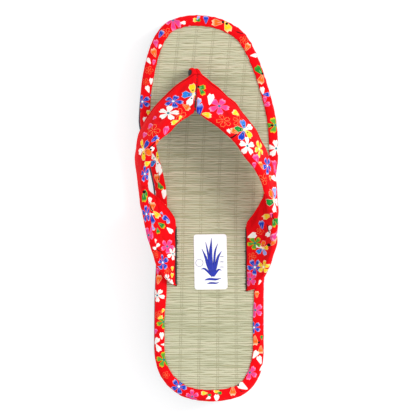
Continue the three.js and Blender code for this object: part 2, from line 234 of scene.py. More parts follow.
class Field:
    """A value at each point of a material, so that a formula of nodes reads as arithmetic."""

    def __init__(self, tree, socket):
        self.tree, self.socket = tree, socket

    def math(self, operation, *others):
        """The field through a math node, with the others as its further inputs."""
        made = self.tree.nodes.new("ShaderNodeMath")
        made.operation = operation
        for place, value in enumerate((self, *others)):
            put(self.tree, made.inputs[place], value)
        return Field(self.tree, made.outputs[0])

    def __add__(self, other):
        return self.math("ADD", other)

    def __sub__(self, other):
        return self.math("SUBTRACT", other)

    def __mul__(self, other):
        return self.math("MULTIPLY", other)

    def __truediv__(self, other):
        return self.math("DIVIDE", other)

    def between(self, low, high):
        """Nought at low, one at high, with a soft step between."""
        ends = {"Value": self, "From Min": low, "From Max": high}
        return node(self.tree, "ShaderNodeMapRange", ends, interpolation_type="SMOOTHSTEP")

    def ramp(self, stops, sharp=False):
        """Colour by value through the stops (place, colour), smooth or in sharp steps."""
        made = node(self.tree, "ShaderNodeValToRGB", {0: self})
        shades = made.socket.node.color_ramp
        shades.interpolation = "CONSTANT" if sharp else "LINEAR"
        while len(shades.elements) < len(stops):
            shades.elements.new(1.0)
        for element, (place, shade) in zip(shades.elements, stops):
            element.position = place
            element.color = (*shade, 1)
        return made

    def mix(self, low, high):
        """Colour low where the field is nought and high where it is one."""
        return node(self.tree, "ShaderNodeMix", {0: self, 6: low, 7: high}, output=2, data_type="RGBA")


def put(tree, socket, value):
    """Links a field to a socket, or sets the socket to a number or a colour."""
    if isinstance(value, Field):
        tree.links.new(value.socket, socket)
    elif socket.type == "RGBA":
        socket.default_value = (*value[:3], 1)
    else:
        socket.default_value = value


def node(tree, kind, inputs=None, output=0, **settings):
    """Adds a node with its settings and inputs, and gives one output as a field."""
    made = tree.nodes.new(kind)
    for name, value in settings.items():
        setattr(made, name, value)
    for place, value in (inputs or {}).items():
        put(tree, made.inputs[place], value)
    return Field(tree, made.outputs[output])


def places(tree, scale=1.0):
    """Object coordinates in millimetres times the scale, one number or three."""
    point = node(tree, "ShaderNodeTexCoord", output=3)
    return node(tree, "ShaderNodeMapping", {"Vector": point, "Scale": tuple(1000 * np.ones(3) * scale)})


def noise(tree, scale, detail=2.0, roughness=0.5):
    """Clouds from 0 to 1 on object coordinates, with so many per millimetre, all round or per axis."""
    inputs = {"Vector": places(tree, scale), "Scale": 1.0, "Detail": detail, "Roughness": roughness}
    return node(tree, "ShaderNodeTexNoise", inputs)


def finish(name, roughness, **sockets):
    """A material, its tree and its shader, with the constant sockets set on the shader itself."""
    material = bpy.data.materials.new(name)
    material.use_nodes = True
    shader = material.node_tree.nodes["Principled BSDF"]
    shader.inputs["Roughness"].default_value = roughness
    for socket, value in sockets.items():
        put(material.node_tree, shader.inputs[socket.replace("_", " ")], value)
    return material, material.node_tree, shader


def surface(tree, shader, shade, height, distance):
    """Gives the shader its base colour, and as bump a height where one is a distance in millimetres."""
    put(tree, shader.inputs["Base Color"], shade)
    bump = node(tree, "ShaderNodeBump", {"Strength": 1.0, "Distance": distance * 0.001, "Height": height})
    tree.links.new(bump.socket, shader.inputs["Normal"])


def foam_finish():
    """Matt foam: charcoal navy with soft clouds, paler and duller where the lowest 1.5 mm meets the floor,
    and fine pores as bump."""
    material, tree, shader = finish("moulded_foam", 0.72, Coat_Weight=0.03)
    shade = noise(tree, 0.12, 4).between(0.3, 0.75).mix((0.026, 0.029, 0.050), (0.050, 0.054, 0.082))
    height = node(tree, "ShaderNodeSeparateXYZ", {0: places(tree)}, output=2)
    dust = height.between(1.6, 0.2) * noise(tree, 0.35, 3).between(0.35, 0.75) * 0.55
    surface(tree, shader, dust.mix(shade, (0.16, 0.15, 0.14)), noise(tree, 2.2, 3, 0.6), 0.10)
    return material


sole.data.materials.append(foam_finish())

# Insole: woven rush over a stiff board, which is the CAD's own solid. The rush strands lie across the foot
# and cross pairs of cotton warp threads about every 12 mm; slits and a hole let the strap through it.
strand_pitch, first_strand, last_strand = 1.45, -123.5, 125
strand_half_width, strand_height, strand_end_inset = 0.72, 0.30, 3.4
# Slits: x, rear end, front end
slits = [(-21.75, -51.8, -12.3), (25.75, -55.0, -12.2)]
slit_half_width = 1.1
thong_centre = np.array([-9.2, 90.1])
thong_hole = (3.1, 2.4)
warp_columns = np.arange(-3, 5)
warp_pitch, warp_centre, warp_half_gap = 11.5, 1.0, 0.62
# How strands differ, as standard deviations: bow, place, height and width as shares, and tone along one
bow_spread, place_spread, height_spread, width_spread, patch_spread = 0.19, 0.07, 0.12, 0.06, 0.2
# Warp threads: their ends, their half sizes, and how far they keep from the edge, a slit and the hole
warp_rear, warp_front, warp_half_size = -121, 121, (0.16, 0.12)
warp_edge_gap, warp_slit_gap, warp_hole = 0.6, 0.4, (5.2, 3.4)
warp_sink, warp_swing = 0.02, 0.14
# Stations of a strand about each warp pair, from its middle
pair_stations = np.array([-5.7, -1.7, -1.1, -0.6, 0.0, 0.6, 1.1, 1.7])
# Ends of the fine strands and threads, whose rings have five points
five_fan = [[0, 1, 2], [0, 2, 3], [0, 3, 4]]


def fanned_faces(rows, columns, fan):
    """Quads and triangles of a grid of rings with the triangles of a fan over its first and last ring."""
    fan = np.array(fan)
    return grid_quads(rows, columns), np.concatenate([fan, fan[:, ::-1] + (rows - 1) * columns])


def merged(parts):
    """Parts (points, quads, triangles) as one, where a part's faces count from its own first point."""
    starts = np.cumsum([0] + [points.size // 3 for points, quads, triangles in parts])
    points = np.concatenate([part[0].reshape(-1, 3) for part in parts])
    faces = [np.concatenate([start + part[k] for start, part in zip(starts, parts)]) for k in (1, 2)]
    return points, *faces


def warp_middle(column, y):
    """x of a warp pair: columns a pitch apart, a little wider at the heel, that lean outwards towards the
    toe as a parabola."""
    lean = np.where(y < 0, 0.011 * y, 0.03 * y + 0.00038 * y * y)
    return warp_centre + lean + (column - 0.5) * warp_pitch * (1 + 0.0007 * np.maximum(-y, 0))


def insole_edges(y):
    """Inner and outer x at y on the outline drawn in by the strands' end inset."""
    count = 1201
    outline, inwards = outline_at(np.linspace(heel_y, toe_y, count))
    ring = outline + inwards * strand_end_inset
    outer, inner = ring[:count], np.concatenate([ring[:1], ring[:count - 1:-1], ring[count - 1:count]])
    return np.interp(y, inner[:, 1], inner[:, 0]), np.interp(y, outer[:, 1], outer[:, 0])


def strand_spans():
    """Ends of each strand as rows (x start, x end, y): edge to edge, broken at the slits and the hole."""
    spans = []
    for y in np.arange(first_strand, last_strand, strand_pitch):
        cuts = [(x - slit_half_width, x + slit_half_width) for x, rear, front in slits if rear < y < front]
        across = 1 - ((y - thong_centre[1]) / thong_hole[1]) ** 2
        if across > 0:
            half = thong_hole[0] * np.sqrt(across)
            cuts.append((thong_centre[0] - half, thong_centre[0] + half))
        inner, outer = insole_edges(np.clip(y, heel_y + strand_end_inset, toe_y - strand_end_inset))
        stops = [inner, *[x for cut in cuts for x in cut], outer]
        spans += [(stops[k], stops[k + 1], y) for k in range(0, len(stops), 2)]
    return np.array(spans)


def rush_strands():
    """Half-round strands: the centre line is at the span's y plus a small wander, and plus a bow between
    two warp pairs. Over it stands half an oval of the strand's width and height, which dip under each
    warp thread by the bell exp(−(d/0.45)²) and fall at the strand's ends. Gives the mesh and its fields:
    a tone for each strand and stretch, how high a point stands on the oval, and the dip."""
    draw = np.random.default_rng(11)
    spans = strand_spans()
    count, y = len(spans), spans[:, 2:]
    middles = warp_middle(warp_columns, y)
    x = (middles[..., None] + pair_stations).reshape(count, -1)
    step = 0.004 * np.arange(x.shape[1])
    x = np.clip(x, spans[:, :1] + step, spans[:, 1:2] - step[::-1])
    column = np.repeat(warp_columns, len(pair_stations))
    wander = 0.16 * np.sin(column * 2.4 + y * 2.9) + 0.10 * np.sin(x / 6.1 + y * 0.8)
    bow = np.zeros((count, len(warp_columns), len(pair_stations)))
    bow[..., 0] = draw.normal(0, bow_spread, (count, len(warp_columns)))
    y = y + wander + draw.normal(0, place_spread, (count, 1)) + bow.reshape(count, -1)
    from_thread = np.abs(x[..., None] - np.repeat(middles, 2, 1)[:, None]
                         - np.tile([-warp_half_gap, warp_half_gap], len(warp_columns))).min(-1)
    dip = np.exp(-(from_thread / 0.45) ** 2)
    ends = smooth_step(0, 2, x - spans[:, :1]) * smooth_step(0, 2, spans[:, 1:2] - x)
    height = strand_height * (1 + draw.normal(0, height_spread, (count, 1)))
    height = height * (1 - 0.6 * dip) * (0.5 + 0.5 * ends)
    half_width = strand_half_width * (1 + draw.normal(0, width_spread, (count, 1))) * (1 - 0.2 * dip)
    turn = np.radians([-28, 25, 90, 155, 208])
    points = np.stack([
        np.broadcast_to(x[..., None], (*x.shape, 5)),
        y[..., None] + half_width[..., None] * np.cos(turn),
        top_z(y)[..., None] + height[..., None] * np.sin(turn),
    ], -1)
    patch = draw.normal(0, patch_spread, (count, len(warp_columns))).repeat(len(pair_stations), 1)
    fields = {"tone": (draw.uniform(0, 1, (count, 1)) + patch)[..., None] + np.zeros(5),
              "crown": np.clip(np.sin(turn), 0, 1) + np.zeros((*x.shape, 5)),
              "dip": dip[..., None] + np.zeros(5)}
    faces = fanned_faces(x.shape[1], 5, five_fan)
    return merged([(strand, *faces) for strand in points]), fields


strand_mesh, strand_fields = rush_strands()
strands = add_piece("rush_strands", "woven_rush", *strand_mesh, point_fields=strand_fields)


def warp_threads():
    """Round threads along the foot over the strands: height swings up and down once every two strands,
    and the two threads of a pair swing opposite ways."""
    ys = np.arange(warp_rear, warp_front, strand_pitch / 4)
    turn = np.radians([0, 72, 144, 216, 288])
    ring = np.stack([warp_half_size[0] * np.cos(turn), 0 * turn, warp_half_size[1] * np.sin(turn)], 1)
    inner, outer = insole_edges(ys)
    threads = []
    for k, column in enumerate(np.repeat(warp_columns, 2)):
        x = warp_middle(column, ys) + warp_half_gap * (-1) ** k
        inside = (x > inner + warp_edge_gap) & (x < outer - warp_edge_gap)
        for slit_x, rear, front in slits:
            inside &= (np.abs(x - slit_x) > slit_half_width + warp_slit_gap) | (ys < rear) | (ys > front)
        from_hole = (np.stack([x, ys], 1) - thong_centre) / warp_hole
        inside &= (from_hole ** 2).sum(1) > 1
        for run in np.split(np.arange(len(ys)), np.flatnonzero(np.diff(inside.astype(int))) + 1):
            if inside[run[0]] and len(run) > 8:
                swing = np.cos(np.pi * (ys[run] - first_strand) / strand_pitch + np.pi * (k % 2))
                height = top_z(ys[run]) - warp_sink + warp_swing * swing
                centre = np.stack([x[run] + 0.05 * np.sin(ys[run] * 1.3), ys[run], height], 1)
                threads.append((centre[:, None] + ring, *fanned_faces(len(run), 5, five_fan)))
    return merged(threads)


warps = add_piece("warp_threads", "woven_rush", *warp_threads())


def colour(red, green, blue):
    """Linear colour of a screen colour from 0 to 255."""
    screen = np.array([red, green, blue]) / 255
    return tuple(np.where(screen < 0.04045, screen / 12.92, ((screen + 0.055) / 1.055) ** 2.4))


def rush_finish():
    """Dried rush: each strand from greenish to straw by its tone, with fine lengthwise fibres across the
    foot, slightly glossy crowns, painted shade in the gaps between strands and in the dips under the
    threads."""
    material, tree, shader = finish("woven_rush", 0.55, Coat_Weight=0.12, Coat_Roughness=0.4)
    tone, crown, dip = (node(tree, "ShaderNodeAttribute", attribute_name=name, output=2)
                        for name in ("tone", "crown", "dip"))
    patch = noise(tree, (0.035, 0.5, 0.1), 2)
    fibre = noise(tree, (0.12, 5.0, 5.0), 3)
    mood = tone * 0.5 + patch * 0.7 + fibre * 0.3 - 0.27
    shade = mood.ramp([(0.05, colour(168, 168, 134)), (0.35, colour(188, 187, 156)),
                       (0.6, colour(196, 194, 164)), (0.9, colour(206, 200, 172))])
    # Painted shade: the low sides of each strand, in the gaps between strands, darken towards olive brown
    shade = (crown.between(0.75, 0.0) * 0.5).mix(shade, colour(140, 136, 100))
    # Painted shade in the dips under the warp threads, patchier in some columns than others
    dip_shade = dip.between(0.2, 1.0) * patch.between(0.3, 0.65) * 0.42
    surface(tree, shader, dip_shade.mix(shade, colour(132, 126, 94)), fibre, 0.06)
    return material


def clouded_finish(name, roughness, clouds, low, high, soft=(0.3, 0.7), grain=None, bump=0.1, **sockets):
    """A material between two shades by clouds of a scale and detail, softened between two values, with
    grain of a scale and detail, or else the clouds, as bump."""
    material, tree, shader = finish(name, roughness, **sockets)
    cloud = noise(tree, *clouds)
    height = noise(tree, *grain) if grain else cloud
    surface(tree, shader, cloud.between(*soft).mix(low, high), height, bump)
    return material


def thread_finish():
    """Cotton warp threads: pale straw with a twist as diagonal bands along the foot."""
    material, tree, shader = finish("warp_cotton", 0.8, Sheen_Weight=0.2)
    bands = {"Vector": places(tree), "Scale": 0.8, "Distortion": 1.0}
    twist = node(tree, "ShaderNodeTexWave", bands, 1, wave_type="BANDS", bands_direction="DIAGONAL")
    shade = twist.between(0.2, 0.8).mix(colour(158, 153, 120), colour(188, 184, 152))
    surface(tree, shader, shade, twist, 0.05)
    return material


board_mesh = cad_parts["tatami_insole"].data
board_mesh.materials.clear()
# The board shows only in gaps and at the slits: pressed straw with streaks across
board_mesh.materials.append(clouded_finish("straw_board", 0.85, ((0.1, 2.5, 2.5), 3),
                                           colour(150, 146, 112), colour(185, 180, 146)))
strands.data.materials.append(rush_finish())
warps.data.materials.append(thread_finish())

# Binding: a strip of red flower-print cotton folded over the insole's edge all round, glued underneath and
# lightly padded, so that it is drawn into small puckers where it goes round the toe and the heel.
# Its section: inset from the outline, height over the insole's top
binding_rows = np.array([
    [6.2, 0.3], [6.0, 1.2], [4.5, 1.7], [2.5, 1.6], [0.9, 0.7], [0.0, -1.2], [0.0, -5.0], [0.6, -6.9],
    [2.0, -7.6], [4.0, -7.6], [4.0, -6.3], [1.5, -6.3], [1.2, -3.0], [1.5, 0.3],
])
binding_steps = 3
# How much wider than that it lies on the insole: y, inner side, outer side
binding_breadth = np.array([
    [-128, 1.3, 1.3], [-110, 0.9, 2.0], [-92, 0.3, 1.0], [-72, 0.3, 0.9], [-56, 1.3, 0.2], [-20, 0.8, 0],
    [12, 0.9, 0], [40, 0.6, 0], [65, 0.5, -0.2], [90, 1.2, -0.3], [112, 1.2, 0.3], [128, 0.9, 0.9],
])
# Kinds of print: blossoms, then single petals, which are parts of a larger blossom, twigs and dots
kinds = ["white", "pink", "blue", "yellow", "yellow_green", "mixed", "gold", "white_petal", "pink_petal",
         "blue_petal", "yellow_petal", "orange_petal", "green_petal", "tipped_petal", "lavender_petal",
         "twig", "dot"]
first_single = kinds.index("white_petal")
# Middle and half length of a petal, in its blossom's radii, and a place without print: 9 radii off, kind 0
petal_middle, petal_half = 0.58, 0.42
no_print = np.array([9.0, 9.0, 0.0])


def ring_through(rows, steps):
    """Closed smooth curve through a section's rows, with so many steps between two rows: the curve
    through the rows and two more at either end, cut to one turn."""
    count = len(rows)
    at = np.arange(-2, count + 3)
    here = np.arange(count * steps) / steps
    return np.stack([curve_through(at, rows[at % count, k], here) for k in range(rows.shape[1])], 1)


def face_corners(grid):
    """Values at the four corners of each face of a grid, in the order of its quads."""
    return np.stack([grid[:-1, :-1], grid[:-1, 1:], grid[1:, 1:], grid[1:, :-1]], 2)


def turned(flat, turn):
    """Places on the flat in axes turned by so many degrees."""
    cos, sin = np.cos(np.radians(turn)), np.sin(np.radians(turn))
    return np.stack([cos * flat[..., 0] + sin * flat[..., 1], cos * flat[..., 1] - sin * flat[..., 0]], -1)


class Cloth:
    """Printed cloth as a grid of points: rows along the strip, columns round its section. It keeps the
    length along and round the cloth at each point, up to four blossoms over each face, how far each point
    is from any print, and painted shade for its creases. A band is a part of the cloth that print stays on."""

    camera_at = np.array([-61.8, 0.0, 2400.0])
    picture_z = 28.0
    print_layers = 4

    def __init__(self, points, joined):
        self.joined = joined
        self.shape(points)
        rows, columns = self.along.shape
        self.layers = np.tile(no_print, (self.print_layers, rows - 1, columns - 1, 4, 1))
        self.used = np.zeros(self.layers.shape[:3], bool)
        self.clear = np.full(self.along.shape, 99.0)
        self.band = np.zeros(rows, int)
        self.crease_shade = np.zeros(self.along.shape)

    def closed(self, grid):
        """The grid with its first column again at the end, and its first row too on a joined strip."""
        grid = np.concatenate([grid, grid[:, :1]], 1)
        return np.concatenate([grid, grid[:1]], 0) if self.joined else grid

    def shape(self, points):
        """Takes the points, and works out normals from the differences between neighbours, lengths as
        running sums of the steps, and where the photograph's camera sees each point in the plan."""
        ahead = np.gradient(points, axis=0)
        if self.joined:
            ahead = np.roll(points, -1, 0) - np.roll(points, 1, 0)
        around = np.roll(points, -1, 1) - np.roll(points, 1, 1)
        normals = unit(np.cross(ahead, around))
        outwards = np.einsum("rcx,rcx->", normals, points - points.mean(1, keepdims=True))
        self.points = self.closed(points)
        self.normals = self.closed(normals * np.sign(outwards))
        self.ahead = self.closed(unit(ahead))
        self.around_step = self.closed(unit(around))
        row_steps, column_steps = (np.linalg.norm(np.diff(self.points, axis=k), axis=2) for k in (0, 1))
        self.along = np.pad(row_steps.cumsum(0), ((1, 0), (0, 0)))
        self.around = np.pad(column_steps.cumsum(1), ((0, 0), (1, 0)))
        scale = (self.camera_at[2] - self.picture_z) / (self.camera_at[2] - self.points[..., 2:])
        self.seen = self.camera_at[:2] + (self.points[..., :2] - self.camera_at[:2]) * scale

    def opened(self, grid):
        """The grid without its repeated closing row and column."""
        return (grid[:-1] if self.joined else grid)[:, :-1]

    def push(self, lift):
        """Moves the points along their normals by lift, which follows the grid with its closing edges."""
        self.shape(self.opened(self.points + self.normals * lift[..., None]))

    def nearest_seen(self, x, y):
        """Grid point that the camera sees at a place in the plan: the highest of those that lie within
        0.6 mm of the nearest."""
        away = np.linalg.norm(self.seen - np.array([x, y]), axis=2) + 1000 * (self.normals[..., 2] < 0.1)
        height = np.where(away < away.min() + 0.6, self.points[..., 2], -1000)
        return np.unravel_index(height.argmax(), away.shape)

    def spread(self, row, column, as_seen=False):
        """Places of all points on the cloth laid flat about one point: the differences of the lengths
        along and round it, turned so that they point as x and y do from above. As seen, they are the
        offsets in the plan instead, with a slope's foreshortening kept down to 0.5."""
        du = self.along - self.along[row]
        dv = self.around - self.around[:, column:column + 1]
        if self.joined:
            whole = self.along[-1:]
            du = (du + whole / 2) % whole - whole / 2
        turn_length = self.around[:, -1:]
        dv = (dv + turn_length / 2) % turn_length - turn_length / 2
        a, b = self.ahead[row, column], self.around_step[row, column]
        if as_seen:
            a, b = (v[:2] * max(1, 0.5 / (np.linalg.norm(v[:2]) + 1e-9)) for v in (a, b))
            return du[..., None] * a + dv[..., None] * b
        side = np.sign(a[0] * b[1] - a[1] * b[0]) or 1.0
        a = unit(a[:2])
        return np.stack([a[0] * du - side * a[1] * dv, a[1] * du + side * a[0] * dv], -1)

    def print_at(self, kind, row, column, radius, turn, seed, seen_size=None):
        """Puts one blossom on the first layer that is free over its faces, and stretches it as seen where
        its seen width and height over its diameter are given. A single petal is printed as one petal of
        a larger blossom, whose petals run from 0.16 to 1 of its radius. It ends where its band ends."""
        single = kinds.index(kind) >= first_single
        size = radius / petal_half if single else radius
        flat = self.spread(row, column, seen_size is not None) / size
        local = turned(flat / np.array(seen_size or (1, 1)), turn)
        away = np.linalg.norm(local, axis=2)
        self.clear = np.minimum(self.clear, away * size - radius)
        local[..., 0] += petal_middle if single else 0
        reach = face_corners(away)
        # Faces that the print touches on its band, but none that the wrapped lengths tear apart
        near = (reach.min(2) < (0.5 if single else 1.03)) & (reach.max(2) < 2)
        near &= (self.band[:-1] == self.band[row])[:, None]
        for layer in range(self.print_layers):
            if not (self.used[layer] & near).any():
                code = np.full((near.sum(), 4, 1), kinds.index(kind) + 1 + seed)
                self.layers[layer][near] = np.concatenate([face_corners(local)[near], code], -1)
                self.used[layer] |= near
                return

    def print_chart(self, chart):
        """Prints the charted blossoms: x, y in the plan as seen, radius, turn in degrees, and for
        some the width and height as seen, over the diameter. A mixed kind ends in its colouring."""
        for kind, charted in chart.items():
            for x, y, radius, turn, *seen_size in charted:
                seed = 0.1 + 0.8 * ((x * 0.37 + y * 0.73) % 1)
                if kind.startswith("mixed"):
                    seed = int(kind[-1]) / 7
                place = self.nearest_seen(x, y)
                self.print_at(kind.rstrip("123456"), *place, radius, turn, seed, seen_size or (1, 1))

    def print_hidden(self, hidden, draw, sizes):
        """Fills what the photograph doesn't show: random free points, large blossoms first."""
        rows, columns = np.nonzero(hidden)
        for kind, radius, tries in sizes:
            for k in draw.integers(0, len(rows), tries):
                turn, seed = draw.uniform(0, 360), draw.uniform(0.1, 0.9)
                if self.clear[rows[k], columns[k]] > radius + 0.7:
                    self.print_at(kind, rows[k], columns[k], radius, turn, seed)

    def add(self, name, slot, ends=False):
        """The cloth as a piece, with its weave map in millimetres along and round, and its print."""
        points = self.opened(self.points)
        fields = {"weave": face_corners(np.stack([self.along, self.around], -1)).reshape(-1, 4, 2)}
        fields |= {f"bloom{k + 1}": layer.reshape(-1, 4, 3) for k, layer in enumerate(self.layers)}
        rows, columns = points.shape[:2]
        quads, triangles = grid_quads(rows, columns, self.joined), []
        if ends:
            quads, triangles = capped_faces(rows, columns)
            far = np.tile(no_print, (len(quads) - (rows - 1) * columns, 4, 1))
            fields = {field: np.concatenate([at, far[..., :at.shape[-1]]]) for field, at in fields.items()}
        crease_shade = self.crease_shade[:rows, :columns]
        return add_piece(name, slot, points, quads, triangles, fields, {"crease_shade": crease_shade})


def folded_binding():
    """The section swept round the outline at its insets and heights over the insole's top."""
    ys = outline_ys(431)
    outline, inwards = outline_at(ys)
    section = ring_through(binding_rows, binding_steps)
    at, *sides = binding_breadth.T
    inner_side, outer_side = (curve_through(at, side, ys) for side in sides)
    extra = np.concatenate([outer_side, inner_side[-2:0:-1]])
    inner_edge = smooth_step(2.0, 6.0, section[:, 0]) * (section[:, 1] > 0)
    inset = section[None, :, 0] + extra[:, None] * inner_edge
    plan = outline[:, None] + inwards[:, None] * inset[..., None]
    return np.concatenate([plan, (top_z(plan[..., 1]) + section[None, :, 1])[..., None]], -1)


binding = Cloth(folded_binding(), joined=True)


def step_colours(shades):
    """Sharp ramp stops that give each of the colours an equal share of 0 to 1."""
    return [(k / len(shades), shade) for k, shade in enumerate(shades)]


white, cream, teal = colour(250, 246, 240), colour(255, 236, 190), colour(20, 120, 140)
deep_pink, pale_pink, lavender = colour(232, 62, 140), colour(250, 165, 205), colour(150, 160, 232)
deep_blue, mid_blue, pale_blue = colour(18, 60, 188), colour(40, 125, 218), colour(190, 202, 244)
yellow, orange = colour(252, 212, 30), colour(252, 110, 25)
green, pale_green = colour(25, 140, 50), colour(90, 165, 50)
gold, black, red = colour(242, 186, 108), colour(30, 15, 20), colour(240, 3, 17)
# Inner and edge colour of the petals and colour of the heart, kind by kind
petal_shades = {
    "white": (white, white, teal), "pink": (deep_pink, pale_pink, teal),
    "blue": (deep_blue, pale_blue, white), "yellow": (yellow, cream, white),
    "yellow_green": (pale_green, yellow, teal), "mixed": (white, white, cream), "gold": (gold, gold, red),
    "white_petal": (white, white, white), "pink_petal": (deep_pink, pale_pink, white),
    "blue_petal": (deep_blue, pale_blue, white), "yellow_petal": (yellow, cream, white),
    "orange_petal": (orange, cream, white), "green_petal": (green, pale_green, white),
    "tipped_petal": (green, yellow, white), "lavender_petal": (lavender, white, white),
    "twig": (black, black, black), "dot": (black, black, black),
}
# Petals of the blossoms in many colours, anticlockwise, for each of their six colourings
mixed_petals = [
    orange, white, mid_blue, lavender, yellow, mid_blue, white, orange, lavender, yellow,
    mid_blue, green, deep_blue, yellow, white, deep_blue, yellow, white, yellow, orange,
    orange, green, white, white, lavender, mid_blue, white, orange, yellow, white,
]


def blossom_group():
    """Node group for one layer of print. Its input holds the place within a blossom, in radii, and a code
    whose whole part is the kind and whose fraction is a seed. In polar form, petal i is the nearest fifth
    of a turn; with a along the petal and c across it, the half width grows as 0.06 + 0.37a and shrinks
    again as 0.68 − 0.54a, and the end is notched where a passes 0.88 + 0.5c. The base has the inner
    colour and the outer end the edge colour. A gold blossom is only its outline, a twig a bent line
    y = 0.5x² − 0.1 along a petal's length, and a dot a disc at a petal's middle."""
    tree = bpy.data.node_groups.new("blossom", "ShaderNodeTree")
    tree.interface.new_socket("Place", in_out="INPUT", socket_type="NodeSocketVector")
    tree.interface.new_socket("Color", in_out="OUTPUT", socket_type="NodeSocketColor")
    tree.interface.new_socket("Cover", in_out="OUTPUT", socket_type="NodeSocketFloat")
    place = Field(tree, tree.nodes.new("NodeGroupInput").outputs[0])
    x, y, code = (node(tree, "ShaderNodeSeparateXYZ", {0: place}, output=k) for k in range(3))
    kind, seed = code.math("FLOOR"), code.math("FRACT")
    radius = (x * x + y * y).math("SQRT")
    fifths = y.math("ARCTAN2", x) * (5 / (2 * np.pi))
    petal = (fifths + 0.5).math("FLOOR")
    swing = (fifths - petal) * (2 * np.pi / 5)
    a, c = radius * swing.math("COSINE"), (radius * swing.math("SINE")).math("ABSOLUTE")
    side = (a * 0.37 + 0.06).math("MINIMUM", a * -0.54 + 0.68) - c
    depth = (side / 0.36).math("MINIMUM", (c * 0.5 - a + 0.88) / 0.4)
    middle = c / (a * 0.2 + 0.1)
    single = kind.math("GREATER_THAN", first_single + 0.5)
    gilt, mixed, twig, dot = (kind.math("COMPARE", kinds.index(name) + 1, 0.5)
                              for name in ("gold", "mixed", "twig", "dot"))
    share = (kind - 0.5) / len(kinds)
    inner, edge, heart = (share.ramp(step_colours([petal_shades[name][part] for name in kinds]), sharp=True)
                          for part in range(3))
    which = (petal + 5.0).math("MODULO", 5.0) + 0.5
    colouring = (seed * 7.0 + 0.5).math("FLOOR") - 1.0
    own = ((colouring * 5.0 + which) / len(mixed_petals)).ramp(step_colours(mixed_petals), sharp=True)
    shade = (depth.between(0.02, 0.15) * a.between(1.0, 0.62)).mix(edge, inner)
    shade = mixed.mix(shade, depth.between(0.02, 0.14).mix(white, own))
    ray = middle.between(0.3, 0.05) * a.between(0.6, 0.35) * (gilt * -1 + 1) * 0.3
    shade = ray.mix(shade, heart)
    pistil = radius.between(0.15, 0.11) * (single * -1 + 1)
    shade = pistil.mix(shade, heart)
    anther = middle.between(0.5, 0.3) * (a - 0.36).math("ABSOLUTE").between(0.06, 0.03) * mixed
    shade = anther.mix(shade, black)
    wanted = single * petal.math("ABSOLUTE").math("GREATER_THAN", 0.5) * -1 + 1
    filled = depth.between(0.0, 0.08) * wanted
    outline_only = depth.between(0.0, 0.05) * depth.between(0.15, 0.08) * 0.85
    cover = filled + (outline_only - filled) * gilt
    cover = cover.math("MAXIMUM", pistil * (gilt * -1 + 1))
    from_middle = x - petal_middle
    bent = (y - x * x * 0.5 + 0.1).math("ABSOLUTE").between(0.08, 0.04)
    bent = bent * from_middle.math("ABSOLUTE").between(0.44, 0.38)
    cover = cover + (bent - cover) * twig
    speck = (from_middle * from_middle + y * y).math("SQRT").between(0.40, 0.34)
    cover = cover + (speck - cover) * dot
    there = kind.math("GREATER_THAN", 0.5) * radius.math("LESS_THAN", 1.6)
    result = tree.nodes.new("NodeGroupOutput")
    put(tree, result.inputs[0], shade)
    put(tree, result.inputs[1], cover * there)
    return tree


def darker(share, shade):
    """A share of a colour's light."""
    return tuple(share * np.array(shade))


def cotton_finish(name, ground):
    """Plain-weave cotton: ground colour with faint uneven dye, painted shade in the creases, the layers of
    blossoms over it, threads 0.42 mm apart as bump from the weave map, and the sheen of short fibres."""
    material, tree, shader = finish(name, 0.82, Sheen_Weight=0.02, Specular_IOR_Level=0.1)
    shade = noise(tree, 0.08, 3).between(0.25, 0.75).mix(darker(0.93, ground), ground)
    # Painted shade: a point field darkens the ground towards 0.4 of it in the creases and along the turned
    # hem
    crease_shade = node(tree, "ShaderNodeAttribute", attribute_name="crease_shade", output=2)
    shade = crease_shade.mix(shade, darker(0.4, ground))
    blossom = blossom_group()
    for layer in range(Cloth.print_layers):
        spot = tree.nodes.new("ShaderNodeGroup")
        spot.node_tree = blossom
        place = node(tree, "ShaderNodeAttribute", attribute_name=f"bloom{layer + 1}", output=1)
        tree.links.new(place.socket, spot.inputs[0])
        shade = Field(tree, spot.outputs[1]).mix(shade, Field(tree, spot.outputs[0]))
    weave = node(tree, "ShaderNodeUVMap", uv_map="weave")
    u, v = (node(tree, "ShaderNodeSeparateXYZ", {0: weave}, output=k) * (2 * np.pi / 0.42) for k in range(2))
    threads = u.math("SINE") * v.math("SINE")
    surface(tree, shader, shade, threads * 0.5 + noise(tree, 1.1, 3) * 0.8, 0.05)
    return material


floral_cotton = cotton_finish("floral_cotton", red)
